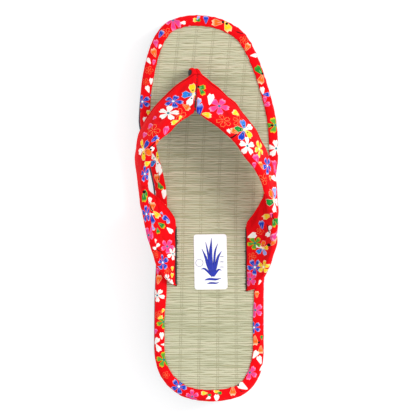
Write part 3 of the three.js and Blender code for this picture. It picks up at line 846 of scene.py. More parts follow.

# Blossoms of the binding, as charted: x, y as seen from above, radius, turn of the first petal, and
# for some their width and height as seen, over the diameter
binding_chart = {
    "white": [(46, 39, 6, 95), (-34.5, -58, 4.7, 55)],
    "pink": [(-24, 125, 5.5, 50), (-11, -125, 4.6, 20), (27.5, -109, 5.3, 45), (30.5, -67, 5.5, 35)],
    "blue": [(-44, 70, 5, 35), (-18.5, -118, 5.8, 60), (30, -79, 4.5, 40)],
    "yellow_green": [(45, 55, 5.6, 110), (-28.5, -75, 4.9, 130), (-28.5, -100, 5.6, 100)],
    "mixed6": [(-33.1, 32.1, 6.7, 215)],
    "gold": [(24, 110.5, 3.1, 0), (-27, 115, 3.5, 0), (-39.5, 90.5, 3, 0), (-41.5, 83, 2.5, 0),
             (-33.5, -70.5, 3, 0), (-27.5, -110.5, 2.6, 0)],
    "white_petal": [(35.5, 77.5, 2.4, 100), (-16.5, 122, 1.8, 0), (31.5, 100.5, 2.1, 0),
                    (-31, 106.5, 1.5, 60), (-40, 97.5, 2.1, 120), (-37.5, 83.5, 2, 85),
                    (-39.5, 78.5, 2.3, 110), (-42, 58.5, 2.2, 90), (-33.2, 26.2, 2.2, 85),
                    (-31, 25.2, 2.4, 75), (-28.6, 9.8, 3, 85), (-30, -84, 2.3, 90), (-34.5, -87.5, 2.4, 60),
                    (-33, -93, 2.6, -60), (-29, -90.5, 1.3, 0), (6.5, -125.5, 2.6, 90), (0, -126, 1.6, 30),
                    (21.5, -117.5, 3.5, 150), (34, -100.5, 2.7, 110), (31, -96.5, 2.7, 60)],
    "pink_petal": [(44.5, 29, 3, 100), (45.5, 24, 1.6, 90), (37, 72, 1.9, 90), (38.5, 68, 2.3, 20),
                   (-35, 109, 2.5, 100), (-35.5, 96, 1.7, 80), (-35.5, -80.5, 1.6, 90),
                   (-33.8, -40.6, 1.9, 90)],
    "blue_petal": [(40, 75, 2.3, 0), (-1, 125.5, 2.6, 90), (-31.5, 115, 2.6, 60)],
    "yellow_petal": [(-8.5, 124, 2.1, 180), (13.5, 119, 3.8, 290), (-39, 63, 2, 95), (-31.5, -72, 1.8, 20),
                     (-29, -67.5, 1.5, 60), (-2.5, -122.5, 2.1, 180), (5, -120.5, 2.1, 160)],
    "orange_petal": [(35.5, 84.5, 3.4, 250), (6, 122, 3.5, 180), (26.5, 106, 2.8, 60),
                     (-36.5, 103, 2.9, 110), (-34.5, 20, 2.9, 100), (16, -121.5, 3, 270),
                     (31, -88, 3.1, 270), (35.5, -94, 2.6, 270), (32, -56.5, 2.1, 90),
                     (-33.1, -46.3, 2.9, 80)],
    "green_petal": [(33.5, 91.5, 3.4, 130), (-6, 124, 1.7, 0), (0.5, -123, 1.3, 0), (7.5, -122, 1.5, 0),
                    (36, -85, 1.4, 90)],
    "tipped_petal": [(-32.2, 14.9, 2.2, -70), (-30.9, 13.6, 2, -60)],
    "lavender_petal": [(-6, 126.5, 1.5, 60)],
    "twig": [(21, 116, 2.2, -45), (21.5, -121.5, 1.6, -60), (41.5, 54.5, 1.6, 20), (-31.8, 20.6, 2, 60)],
    "dot": [(43, 55, 0.9, 0), (36.5, 89, 0.9, -30), (36.5, 86.5, 0.9, 30), (10.5, 123.5, 1, 0),
            (13, 122, 1, 60), (-34, 100, 0.9, 0), (16, -118, 0.8, 0), (18.5, -116.5, 0.8, 0),
            (34, -89.5, 0.8, 0)],
}
# What fills the cloth where the photograph doesn't show it: kind, radius, tries
hidden_bloom = [(kind, radius, 30) for radius in (6.5, 5.4, 4.4)
                for kind in ("mixed", "blue", "white", "pink", "yellow_green", "yellow")]
hidden_bloom += [("gold", 3.6, 60), ("gold", 2.6, 60)]
small_kinds = ("white_petal", "orange_petal", "blue_petal", "pink_petal", "yellow_petal", "twig")
hidden_bloom += [(kind, radius, 60) for radius in (2.8, 2.1, 1.5) for kind in small_kinds]
binding.print_chart(binding_chart)
binding_y = binding.points[..., 1]
# Stretch along y where the strap hides the binding
covered_rear, covered_front = -50, 60
under_strap = (binding_y > covered_rear) & (binding_y < covered_front)
binding.print_hidden((binding.normals[..., 2] < 0.1) | under_strap, np.random.default_rng(23), hidden_bloom)

# The cloth is gathered into small puckers, closer and deeper where the edge turns round toe and heel: two
# sine waves along it, whose phases wander, over the part of the section that lies on top
pucker_length, small_pucker_length, pucker_height = 6.5, 3.7, 0.17
tightness = 0.35 + 0.65 * smooth_step(60, 118, np.abs(binding_y))
wander = 1.7 * np.sin(binding.along / 23) + 0.9 * np.sin(binding.along / 9.7 + 1)
pucker = np.sin(binding.along * 2 * np.pi / pucker_length + wander)
pucker += 0.5 * np.sin(binding.along * 2 * np.pi / small_pucker_length - wander)
on_top = smooth_step(6.2, 4.6, np.abs(binding.around - 4.2))
binding.push(pucker_height * pucker * tightness * on_top)

binding_piece = binding.add("binding_cloth", "floral_cotton")
binding_piece.data.materials.append(floral_cotton)
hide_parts("edge_binding")

# Strap: the upper, a padded V of the same print over foam with a cotton lining, turned and topstitched
# along its edges. An inner and an outer band are joined by a zigzag seam over the toes; their wide ends
# go down through the slits and are glued under the insole.
# A row for each station from the inner slit over the toes to the outer slit: the front edge and the
# topline edge, as x, y and height over the insole's top there, the padding's thickness and the face's bow
strap_rows = np.array([
    [-21.4, -13.0, -8.8, -21.4, -51.0, -8.8, 2.0, 0],
    [-21.4, -13.0, 0.6, -21.4, -51.0, 0.6, 2.0, 0],
    [-22.6, -6.0, 3, -25.6, -48.8, 4, 2.6, 0.6],
    [-28.4, 2.0, 5, -31.8, -40.6, 10, 3.4, 1.2],
    [-34.6, 7.8, 7, -36.5, -26.4, 17, 4.2, 1.8],
    [-40.0, 12.3, 9, -39.4, -12.0, 23, 4.6, 2.0],
    [-41.9, 20.0, 10.5, -41.0, 2.0, 29, 4.6, 2.0],
    [-45.1, 29.0, 11.5, -41.4, 16.0, 33, 4.6, 1.8],
    [-46.4, 38.0, 12.5, -39.8, 28.0, 36, 4.6, 1.6],
    [-43.6, 51.0, 13.5, -35.6, 41.0, 37, 4.6, 1.6],
    [-37.2, 63.3, 14, -27.7, 48.8, 36, 4.6, 1.6],
    [-29.2, 72.6, 14, -20.2, 55.7, 33, 4.6, 1.5],
    [-20.4, 81.2, 13.5, -13.4, 60.4, 30, 4.4, 1.2],
    [-13.0, 86.2, 13, -10.7, 62.1, 28.5, 4.2, 1.0],
    [-7.4, 89.0, 12.5, -8.9, 63.2, 28, 3.4, 0.8],
    [-2.4, 86.5, 13, -7.0, 62.0, 28.5, 4.2, 1.0],
    [3.2, 81.7, 13.5, -3.8, 60.0, 29.5, 4.4, 1.2],
    [11.3, 74.6, 13.8, 2.4, 55.6, 31, 4.6, 1.4],
    [19.0, 66.3, 13.8, 10.2, 50.0, 33, 4.6, 1.5],
    [27.0, 56.3, 13.5, 18.1, 41.7, 34.5, 4.6, 1.4],
    [33.5, 45.4, 13, 25.4, 32.0, 35, 4.6, 1.3],
    [38.2, 35.0, 12.5, 31.9, 22.8, 34, 4.6, 1.3],
    [40.9, 26.5, 11.5, 36.4, 12.5, 32, 4.6, 1.6],
    [41.5, 18.5, 10.5, 40.4, -2.0, 28, 4.6, 2.0],
    [39.2, 11.3, 9, 43.2, -15.0, 23, 4.6, 2.0],
    [35.2, 4.4, 7, 42.0, -29.4, 17, 4.2, 1.8],
    [30.6, -3.1, 5, 37.6, -43.2, 10, 3.4, 1.2],
    [26.2, -8.9, 3, 31.0, -52.6, 4, 2.6, 0.6],
    [25.3, -12.8, 0.6, 25.3, -54.4, 0.6, 2.0, 0],
    [25.3, -12.8, -8.8, 25.3, -54.4, -8.8, 2.0, 0],
])
front_thickness, top_thickness = 2.6, 4.2
strap_stations, section_half = 470, 34
first_station, last_station = 0.3, len(strap_rows) - 1.3
seam_row = 14


def curve_by_rows(rows, here):
    """Smooth curves through all columns of the rows, at places counted in rows."""
    return np.stack([curve_through(np.arange(len(rows)), column, here) for column in rows.T], -1)


def raised(rows):
    """Rows that start with x, y and height over the insole's top, with z in place of the height."""
    rows = np.array(rows, float)
    rows[:, 2] += top_z(rows[:, 1])
    return rows


def strap_edges(at):
    """Front and topline edge points at the stations, from the curves through the strap's rows."""
    columns = curve_by_rows(strap_rows[:, :6], at)
    return raised(columns[:, :3]), raised(columns[:, 3:])


def padded_strap():
    """Lens sections: share s runs from the front edge to the topline with even turns of a half circle;
    the middle bows outwards by bow·4s(1 − s), and either face stands half the padding's thickness off it,
    rounded to nothing at the edges as a circle is."""
    last = len(strap_rows) - 1
    at = np.linspace(first_station, last_station, strap_stations)
    front, top = strap_edges(at)
    along = sum(strap_edges(np.minimum(at + 0.2, last))) - sum(strap_edges(np.maximum(at - 0.2, 0)))
    outwards = unit(np.cross(top - front, along))
    pad, bow = curve_by_rows(strap_rows[:, 6:], at).T[..., None]
    width = np.linalg.norm(top - front, axis=1)[:, None]
    i = np.arange(2 * section_half)
    share = ((1 - np.cos(np.pi * i / section_half)) / 2)[None, :]
    arch = 4 * share * (1 - share)
    edge = np.minimum(pad, front_thickness + (top_thickness - front_thickness) * share)
    half = (edge + (pad - edge) * arch) / 2
    nearness = np.clip(1 - width * np.minimum(share, 1 - share) / half, 0, 1)
    side = np.where(i < section_half, 1, -1)
    lift = bow * arch + side * half * np.sqrt(1 - nearness ** 2)
    return front[:, None] + (top - front)[:, None] * share[..., None] + outwards[:, None] * lift[..., None]


strap = Cloth(padded_strap(), joined=False)
station = np.linspace(first_station, last_station, strap_stations)[:, None]
from_front = np.minimum(strap.around, strap.around[:, -1:] - strap.around)
from_top = np.abs(strap.around - strap.around[:, section_half:section_half + 1])
outer_face = (np.arange(2 * section_half + 1) <= section_half)[None, :]
# Folds fade out at the ends that go down into the slits
wing_fade = smooth_step(1.2, 3.4, station) * smooth_step(27.8, 25.6, station)
strap.band = (station[:, 0] > seam_row).astype(int)


def trough(distance, width):
    """Bell of height one: the exponential of minus the squared distance over the width."""
    return np.exp(-(distance / width) ** 2)


# Stitched hem along the front edge, rolled topline and seam over the toes: distance, half width, height
hem_folds = [(3.2, 0.55, -0.55), (2.0, 0.7, 0.22), (4.6, 0.8, 0.14)]
topline_folds = [(4.6, 0.6, -0.5), (3.2, 0.9, 0.2)]
seam_folds = [(0, 0.75, -1.1), (1.9, 1.0, 0.25)]
seam_along = [np.interp(seam_row, station[:, 0], strap.along[:, k]) for k in range(strap.along.shape[1])]
from_seam = np.abs(strap.along - np.array(seam_along))
hem, rolled, seam = (sum(height * trough(away - place, width) for place, width, height in folds)
                     for away, folds in ((from_front, hem_folds), (from_top, topline_folds),
                                         (from_seam, seam_folds)))
# The seam draws the cloth into puckers beside it, and the foot's side is drawn in at the slits
stretch = 0.5 + 0.5 * np.cos(strap.around / 1.35 + 1.3 * np.sin(strap.around / 5.1))
seam_puckers = -0.28 * stretch * trough(from_seam - 3.4, 2.4)
foot_side = (~outer_face) * smooth_step(0.3, 1.6, from_front) * smooth_step(0.3, 1.6, from_top)
at_slit = smooth_step(1.9, 1.2, station) * 1.3 + smooth_step(27.2, 27.9, station) * 1.1
strap.push((hem + rolled) * wing_fade + seam + seam_puckers - foot_side * at_slit)

# Blossoms of the strap, charted in the same way
strap_chart = {
    "mixed1": [(35.5, -27, 6, 80, 0.75, 0.9)],
    "mixed5": [(43.9, 4.8, 7.6, 132, 0.6, 1.2)],
    "mixed2": [(-9, 75.3, 9, 171, 1, 0.85)],
    "mixed3": [(24, 52.6, 7.6, 102, 0.95, 1)],
    "mixed4": [(-43.3, 38.5, 7.2, 50, 0.6, 1.1)],
    "white": [(-26, 63.5, 7.4, 5, 1, 0.68), (27, 41.5, 6.8, 90, 0.85, 1), (-22.5, -30.5, 4.6, 60, 0.8, 1),
              (-28, -47.5, 3.0, 100, 1, 0.8)],
    "pink": [(7.7, 68, 7.4, -12, 1, 0.8), (-40, -18, 5.6, 45, 0.7, 1), (-26, -25, 5, 60),
             (27, -47, 5.4, 100)],
    "blue": [(-22.5, 70.7, 6.9, -5, 1, 0.66), (-41.8, 22, 5.8, 100, 0.6, 1),
             (-41.7, -4.2, 5.6, 100, 0.6, 1.1), (-29.5, -36.4, 5.6, 95, 0.65, 1.05),
             (40.2, 28.3, 5.8, 120, 0.55, 1.1), (30.5, -39.5, 5.8, 50, 0.85, 1)],
    "yellow": [(34.6, 39.3, 5.8, 115, 0.55, 1.1), (36.2, -39.3, 4.9, 80, 0.8, 1)],
    "yellow_green": [(30, -23.5, 5.5, 120, 1, 0.85)],
    "gold": [(-18.6, 61.8, 4.2, 20), (-37, 51.5, 4.7, 0), (11, 58, 5.4, 40, 1, 0.85), (20, 58, 3.8, 10),
             (37.5, 19.5, 3.8, 0), (33.5, -15, 2.6, 0), (28, -32.5, 2.8, 0), (-26.5, -42, 2.3, 0),
             (-34.5, -31.5, 2.4, 0)],
    "white_petal": [(1.5, 73.5, 3.4, 80), (13, 50.6, 1.6, 120), (44, 20, 2, 110), (-38.5, 5.5, 2.2, 100),
                    (-24.5, -15.5, 2.4, -45), (-34.4, -21.9, 1.5, 100), (-32.4, -24.2, 1.6, 50),
                    (-35.1, -27.3, 1.6, 190), (-36, 38.6, 2.2, 170), (-37.3, -4.2, 1.8, 200),
                    (-24.5, -50.5, 2.1, 0), (28.7, -18.4, 2.9, 20), (39, -16.8, 2.3, 230),
                    (40.7, -12.8, 1.6, 70), (45.5, -18, 1.8, 60), (34.5, -49.5, 1.5, 60)],
    "pink_petal": [(-28, 52.5, 3, 80), (-35.5, 60.5, 1.4, 40), (-39, 55, 1.9, 55), (-42, 49, 1.7, 70),
                   (32, 33, 2.9, 100), (31, 28.5, 1.9, 90), (41, -4.6, 1.6, 90), (41.5, -19, 2.3, 100)],
    "blue_petal": [(-34.5, 46.5, 2.7, 35), (-6, 66, 3.5, 85), (-36.2, -8, 3.7, 280, 0.65, 1),
                   (-28.2, -7, 2.6, 150), (34.6, -11.2, 2.7, 100)],
    "lavender_petal": [(-7, 71, 2.8, 70), (-35.8, -13, 1.9, 280), (-25.6, -9.6, 1.6, -60),
                       (-29.9, -3.6, 1, 130), (44.5, 12, 2.2, 90)],
    "yellow_petal": [(-22, 57.5, 2.5, 200), (-17.5, 60, 1.5, 60), (-40, 29, 2.5, 200), (-0.5, 62, 3.2, -10),
                     (18, 63.5, 2.4, 150), (38.5, -5.8, 2.8, 200), (-33.6, -4.9, 2.8, -45),
                     (-22.5, -40, 1.5, 90), (-23, -44.5, 1.6, 80)],
    "orange_petal": [(-13.5, 67, 2.8, -40), (-32, 43.5, 1.9, 60), (17, 51.3, 2.9, 160),
                     (35.5, 28.5, 2.7, 100), (42, 20.5, 1.7, 90), (-36.1, 1.5, 2.8, 90),
                     (42.5, -23.5, 3.1, 30)],
    "green_petal": [(46, -8.5, 2.2, 100)],
    "tipped_petal": [(-3.3, 80.5, 2.5, 5), (-4.3, 76.7, 2.7, -60), (43.2, -10.8, 2.5, 270),
                     (-29.6, -12.1, 2.5, -35), (-32.8, -15.8, 1.9, -75), (-43.3, 6, 2.9, 270),
                     (-40.7, 8.5, 2.6, 280)],
    "twig": [(18, 48, 3.5, 10), (-37.5, 41.3, 2.8, 15), (-32.5, -28, 2.3, -70), (43.2, -6.5, 2.2, 260),
             (38.9, -14, 2.4, 250), (-37.6, 0.3, 2.8, -85, 0.5, 1.2)],
    "dot": [(39.5, -25, 1.2, 20), (-42.8, 10.5, 1.2, 0), (-37.4, 38.5, 0.8, 0), (-35.9, -2.6, 0.9, 0),
            (-6.3, 80.9, 0.8, 0)],
}
strap.print_chart(strap_chart)
# The photograph doesn't show what turns away from it, but for the hems, which stay plain
wings = (station < 6) | (station > 23)
unseen = np.where(outer_face, strap.normals[..., 2] < 0.1, strap.normals[..., 2] < -0.3)
unseen &= from_front > np.where(wings, 4, 6)
strap.print_hidden(unseen, np.random.default_rng(31), hidden_bloom)

# Creases listed one by one: x, y as seen, direction in degrees, half length, half width, depth
strap_creases = [
    (-40.5, 13.5, 12, 7, 1.1, 0.9), (-38.5, 9.5, 20, 5, 1.4, 0.45), (-31, 1.5, 40, 6, 1.3, 0.4),
    (-33.5, 57.5, 35, 9, 1.5, 0.35), (-24, 66, 40, 8, 1.2, 0.3), (-14, 71, 62, 7, 1.0, 0.45),
    (-12, 78, 70, 5, 0.9, 0.4), (-4, 72, 118, 6, 1.0, 0.4), (-1.5, 77, 120, 5, 0.9, 0.35),
    (6, 64, 130, 8, 1.3, 0.3), (17, 57, 140, 9, 1.4, 0.3), (33, 36, 150, 8, 1.3, 0.3),
    (38, 19, 165, 6, 1.1, 0.5), (41, 3, 120, 7, 1.3, 0.4), (36, -8, 130, 8, 1.3, 0.4),
    (31, -18, 110, 9, 1.4, 0.35), (-27, -12, 65, 9, 1.4, 0.35), (-31, -24, 80, 9, 1.4, 0.3),
]
relief_map = np.zeros(strap.along.shape)
for x, y, turn, half_length, half_width, depth in strap_creases:
    flat = turned(strap.spread(*strap.nearest_seen(x, y)), turn)
    bend = flat[..., 1] - 0.012 * flat[..., 0] ** 2
    reach = np.exp(-(flat[..., 0] / half_length) ** 4)
    banks = 0.2 * trough(np.abs(bend) - 2 * half_width, half_width)
    relief_map += depth * reach * (banks - trough(bend, half_width))
# Small wrinkles of the loose cover: sums of slow waves along and round the strap, seeded
wrinkle_height = 0.11
draw = np.random.default_rng(5)
for wave in range(9):
    turn = draw.uniform(0, np.pi)
    length = draw.uniform(9, 19)
    phase = 2 * np.pi * (np.cos(turn) * strap.along + np.sin(turn) * strap.around) / length
    phase = phase + draw.uniform(0, 6)
    relief_map += wrinkle_height * np.sin(phase + 1.5 * np.sin(strap.along / 17 + wave))
strap.push(relief_map * smooth_step(0.4, 2.0, from_front) * smooth_step(0.4, 2.0, from_top)
           * np.clip(wing_fade + 0.15, 0, 1))

# Painted shade in the creases and along the turned hem, where shade falls; along the hem: distance, half
# width, share
hem_shade_line = (3.0, 0.5, 0.75)
hem_shade = hem_shade_line[2] * trough(from_front - hem_shade_line[0], hem_shade_line[1]) * outer_face * wing_fade
strap.crease_shade = np.maximum(hem_shade, np.clip(-0.8 * relief_map - 0.08, 0, 0.5))
strap_piece = strap.add("strap_cloth", "floral_cotton", ends=True)
# Black brushed cotton lines the foot's side of the bands: a short soft nap with lighter rubbed patches
lining_stations, lining_insets = (7.2, 20.8), (1.9, 2.4)
black_lining = clouded_finish("black_lining", 0.9, (0.25, 4), (0.010, 0.009, 0.011), (0.030, 0.027, 0.031),
                              (0.35, 0.8), (3.5, 2), 0.12, Sheen_Weight=0.3, Sheen_Roughness=0.4)
strap_piece.data.materials.append(floral_cotton)
strap_piece.data.materials.append(black_lining)
lined = (~outer_face) & (from_front > lining_insets[0]) & (from_top > lining_insets[1])
lined &= (station > lining_stations[0]) & (station < lining_stations[1])
lined = lined[:-1, :-1] & lined[1:, 1:]
material_numbers = np.zeros(len(strap_piece.data.polygons), int)
material_numbers[:lined.size] = lined.ravel()
strap_piece.data.polygons.foreach_set("material_index", material_numbers)
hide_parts("strap_upper")

# Toe thong: the bands' printed cloth is rolled into two lobes that turn down over the front edge, and a
# ribbed black cotton cord goes down as their core between the toes and through the hole in the insole.


def tube(path, half_width, half_depth, stations=48, sections=18):
    """Oval tube along a smooth path through the rows. Across the path one axis is level, the path's
    direction crossed with upwards, or x where the path is steep; half sizes may be given row by row."""
    rows = np.arange(len(path))
    here = np.linspace(0, len(path) - 1, stations)
    centre = curve_by_rows(path[:, :3], here)
    ahead = unit(np.gradient(centre, axis=0))
    level = -unit(np.cross(np.cross(ahead, [1.0, 0, 0]), ahead))
    over = np.cross(level, ahead)
    turn = 2 * np.pi * np.arange(sections)[:, None] / sections
    wide, deep = (np.interp(here, rows, half * np.ones(len(rows)))[:, None, None]
                  for half in (half_width, half_depth))
    return centre[:, None] + level[:, None] * np.cos(turn) * wide + over[:, None] * np.sin(turn) * deep


# Lobes as rows of x, y, height over the insole and half width. The outer band's goes over the front edge
# in line with the band and down; the inner band's is rolled to the left over the end of the core
lobes = {
    "thong_roll_outer": [(-4.4, 82.5, 13.4, 1.2), (-5.5, 86.0, 12.9, 1.9), (-6.5, 88.9, 11.8, 1.8),
                         (-7.3, 90.6, 9.8, 1.5), (-7.6, 90.8, 6.4, 1.5), (-7.9, 90.6, 2.0, 1.4),
                         (-8.2, 90.4, -2.5, 1.2)],
    "thong_roll_inner": [(-10.0, 83.0, 13.8, 1.0), (-9.7, 86.6, 12.9, 1.8), (-9.4, 89.3, 12.0, 1.5),
                         (-9.8, 90.9, 11.0, 1.2), (-10.9, 91.7, 9.9, 0.8), (-12.0, 91.6, 8.6, 0.55),
                         (-12.5, 90.9, 7.2, 0.4)],
}
# How flat they are, and their soft folds: radians per millimetre round them, height, middle, reach
lobe_flattening, fold_turns, fold_height, fold_middle, fold_reach = 0.92, 1.9, 0.10, 9, 6
for lobe_name, lobe_rows in lobes.items():
    lobe = raised(lobe_rows)
    roll = Cloth(tube(lobe, lobe[:, 3], lobe[:, 3] * lobe_flattening), joined=False)
    roll.push(np.sin(roll.around * fold_turns) * fold_height * trough(roll.along - fold_middle, fold_reach))
    roll_piece = roll.add(lobe_name, "floral_cotton", ends=True)
    roll_piece.data.materials.append(floral_cotton)
    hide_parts("strap_upper")

# Core as rows of x, y, height over the insole, half width and half depth
core_rows = [(-11.5, 86.4, 11.4, 1.3, 1.6), (-11.7, 88.9, 10.2, 1.5, 2.0), (-11.3, 89.7, 6.5, 1.8, 2.1),
             (-9.9, 90.1, 2.0, 2.2, 2.1), (-8.8, 90.2, -6.0, 2.4, 2.1)]
core_stations, core_sections, core_ribs, rib_height = 90, 40, 10, 0.05


def ribbed_core():
    """Oval cord on a path down into the insole, whose half sizes swell by a cosine of the turn round it,
    once in every cord rib."""
    rows = raised(core_rows)
    core = tube(rows, rows[:, 3], rows[:, 4], core_stations, core_sections)
    centre = core.mean(1, keepdims=True)
    turn = 2 * np.pi * np.arange(core_sections)[:, None] / core_sections
    return centre + (core - centre) * (1 + rib_height * np.cos(core_ribs * turn))


core = add_piece("thong_core", "floral_cotton", ribbed_core(), *capped_faces(core_stations, core_sections))
# Black cotton tape and cord: fine twill ribs as bump, slightly faded where it is rubbed
black_cotton = clouded_finish("black_cotton", 0.85, (0.8, 3), (0.012, 0.011, 0.013), (0.045, 0.04, 0.045),
                              (0.4, 0.8), ((4, 4, 1.5), 2), 0.12, Sheen_Weight=0.15)
core.data.materials.append(black_cotton)
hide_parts("strap_upper")

# Seam thread: black ladder stitches that draw the two bands together over the toes, and under them,
# where the bands part towards the topline, a black tube as painted shade in the gap between the bands.
stitch_count, stitch_half_length, stitch_half_size = 14, 0.75, (0.2, 0.16)
gap_shade_half_widths = np.array([0.12, 0.34, 0.36, 0.3, 0.36, 0.42, 0.42, 0.5, 0.4])
gap_shade_half_depth = 0.22


def seam_path(y_start, y_end, lift, points):
    """Path along the seam's trough on the outer face: the cloth's own points there, from y_start to
    y_end, raised along its normals by lift."""
    line = np.abs(station[:, 0] - seam_row).argmin()
    face = strap.points[line, :section_half + 1]
    raised_face = face + strap.normals[line, :section_half + 1] * lift
    order = np.argsort(face[:, 1])
    y = np.linspace(y_start, y_end, points)
    return np.stack([np.interp(y, face[order, 1], raised_face[order, k]) for k in range(3)], 1)


def ladder_stitches():
    """Paths of short threads across the seam, one every 1.9 mm, turned by up to 12 degrees one way and
    the other, that sink to both sides as 0.35s²."""
    middles = seam_path(88.5, 63.8, 0.42, stitch_count)
    lean = np.radians(12) * np.cos(np.pi * np.arange(stitch_count))
    across = np.stack([np.cos(lean), np.sin(lean), 0 * lean], 1)
    share = np.linspace(-1, 1, 5)
    arched = middles[:, None] + across[:, None] * stitch_half_length * share[:, None]
    arched[..., 2] += 0.12 - 0.35 * share ** 2
    return arched


# Painted shade: a thin black tube along the seam's trough, where the bands part, stands for the shadow in
# the gap between them
seam_gap_shade = tube(seam_path(80.8, 63.4, 0.12, 9), gap_shade_half_widths, gap_shade_half_depth, 60, 8)
seam_tubes = [seam_gap_shade] + [tube(path, *stitch_half_size, 12, 8) for path in ladder_stitches()]
seam_thread_and_shade = add_piece("seam_thread_and_shade", "floral_cotton",
                        *merged([(points, *capped_faces(*points.shape[:2])) for points in seam_tubes]))
seam_thread_and_shade.data.materials.append(black_cotton)
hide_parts("strap_upper")

# End tapes: a narrow black cotton strip on the foot's side of each slit, which stands out of the slit
# as far as the strap's own end and makes a dark line along it.
# For each: x, rear end, front end, half width, rise over the insole
end_tapes = {"end_tape_inner": (-21.3, -51.2, -12.9, 0.45, 1.5),
             "end_tape_outer": (25.05, -54.2, -13.0, 0.32, 1.3)}
tape_depth, tape_stations, tape_sections = 4, 90, 12


def end_tape(x, rear, front, half_width, rise):
    """Upright tape along a slit: a section cos^0.6, sin^0.6 of the turn swept from rear to front,
    wavering by 0.08 mm and rounded off at both ends by a power of the distance from its middle."""
    y = np.linspace(rear, front, tape_stations)
    turn = 2 * np.pi * np.arange(tape_sections) / tape_sections
    round_off = np.sqrt(np.clip(1 - np.abs(2 * (y - (rear + front) / 2) / (front - rear)) ** 24, 0.02, 1))
    across, upright = (np.sign(wave) * np.abs(wave) ** 0.6 for wave in (np.cos(turn), np.sin(turn)))
    points = np.empty((tape_stations, tape_sections, 3))
    points[..., 0] = x + 0.08 * np.sin(y * 0.9)[:, None] + half_width * across * round_off[:, None]
    points[..., 1] = y[:, None]
    middle, half_height = (rise - tape_depth) / 2, (rise + tape_depth) / 2
    points[..., 2] = top_z(y)[:, None] + middle + half_height * upright * round_off[:, None]
    return points


for tape_name, tape_sizes in end_tapes.items():
    tape = add_piece(tape_name, "floral_cotton", end_tape(*tape_sizes),
                     *capped_faces(tape_stations, tape_sections))
    tape.data.materials.append(black_cotton)
    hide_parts("strap_upper")

# Label: a small white paper label under a satin film, stuck on the insole's heel half, with a tuft of rush
# printed on it in blue, and a ring and short bars in grey. The strokes of ink are thin lenses on its film.
label_centre = np.array([1.6, -35.5])
label_size, label_corner, label_turn = (21.8, 36.3), 1.8, 0.015
label_low, label_high = 0.36, 0.62
# Rings of the label's edge: inset, height over the insole's top
label_rings = [(0.0, label_low), (0.0, label_high - 0.08), (0.05, label_high), (0.2, label_high + 0.02)]


def on_label(x, y, height):
    """Point of the part from a place in the label's own frame, turned about its centre, and a height over
    the insole's top."""
    cos, sin = np.cos(label_turn), np.sin(label_turn)
    plan_y = label_centre[1] + sin * x + cos * y
    return np.stack([label_centre[0] + cos * x - sin * y, plan_y, top_z(plan_y) + height], -1)


def label_slab():
    """Rounded rectangle: half its outline from the near to the far middle, mirrored, in rings from the
    underside over a small rounded edge to the top, all at a height over the insole's top."""
    half_x, half_y, corner = label_size[0] / 2, label_size[1] / 2, label_corner
    arc = np.linspace(0, np.pi / 2, 8)
    sides = np.linspace(-(half_y - corner), half_y - corner, 26)[1:-1]
    x = np.concatenate([[0, half_x / 2], half_x - corner + corner * np.sin(arc), np.full(24, half_x),
                        half_x - corner + corner * np.cos(arc), [half_x / 2, 0]])
    y = np.concatenate([[-half_y] * 2, -half_y + corner - corner * np.cos(arc), sides,
                        half_y - corner + corner * np.sin(arc), [half_y] * 2])
    x, y = np.concatenate([x, -x[-2:0:-1]]), np.concatenate([y, y[-2:0:-1]])
    return np.array([on_label(x * (1 - inset / half_x), y * (1 - inset / half_y), height)
                     for inset, height in label_rings])


label_points = label_slab()
label = add_piece("label_sticker", "label_film", label_points, *capped_faces(*label_points.shape[:2]))


def film_finish():
    """White paper under a satin film, with a faint tooth and slight yellowing."""
    material, tree, shader = finish("label_paper", 0.38, Coat_Weight=0.25, Coat_Roughness=0.25)
    shade = noise(tree, 0.06, 2).mix((0.86, 0.87, 0.90), (0.93, 0.93, 0.93))
    surface(tree, shader, shade, noise(tree, 1.6, 3), 0.02)
    return material


label.data.materials.append(film_finish())
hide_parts("size_label")
# Section of a stroke of ink: across its path, and upwards; the last point is underneath
stroke_across, stroke_up = np.array([[-1, -0.5, 0, 0.5, 1, 0], [0.0, 0.6, 0.8, 0.6, 0.0, -0.2]])
stroke_stations, stroke_thickness, stroke_breadth = 40, 0.04, 1.35
stroke_fan = [[0, 1, 5], [1, 2, 5], [2, 3, 5], [3, 4, 5]]


def strokes(lines):
    """Flat brush strokes as one mesh: each is a lens 0.04 mm thick along a smooth curve through its rows
    of x, y and half width in the label's frame, and wider by the breadth where it runs upwards."""
    parts = []
    for line in lines:
        here = np.linspace(0, len(line) - 1, stroke_stations)
        x, y, half = curve_by_rows(np.array(line, float), here).T[..., None]
        slope = unit(np.concatenate([np.gradient(x, axis=0), np.gradient(y, axis=0)], 1))
        points = on_label(x - slope[:, 1:] * stroke_across * half * stroke_breadth,
                          y + slope[:, :1] * stroke_across * half,
                          stroke_up * stroke_thickness + label_high + 0.02)
        parts.append((points, *fanned_faces(stroke_stations, 6, stroke_fan)))
    return merged(parts)


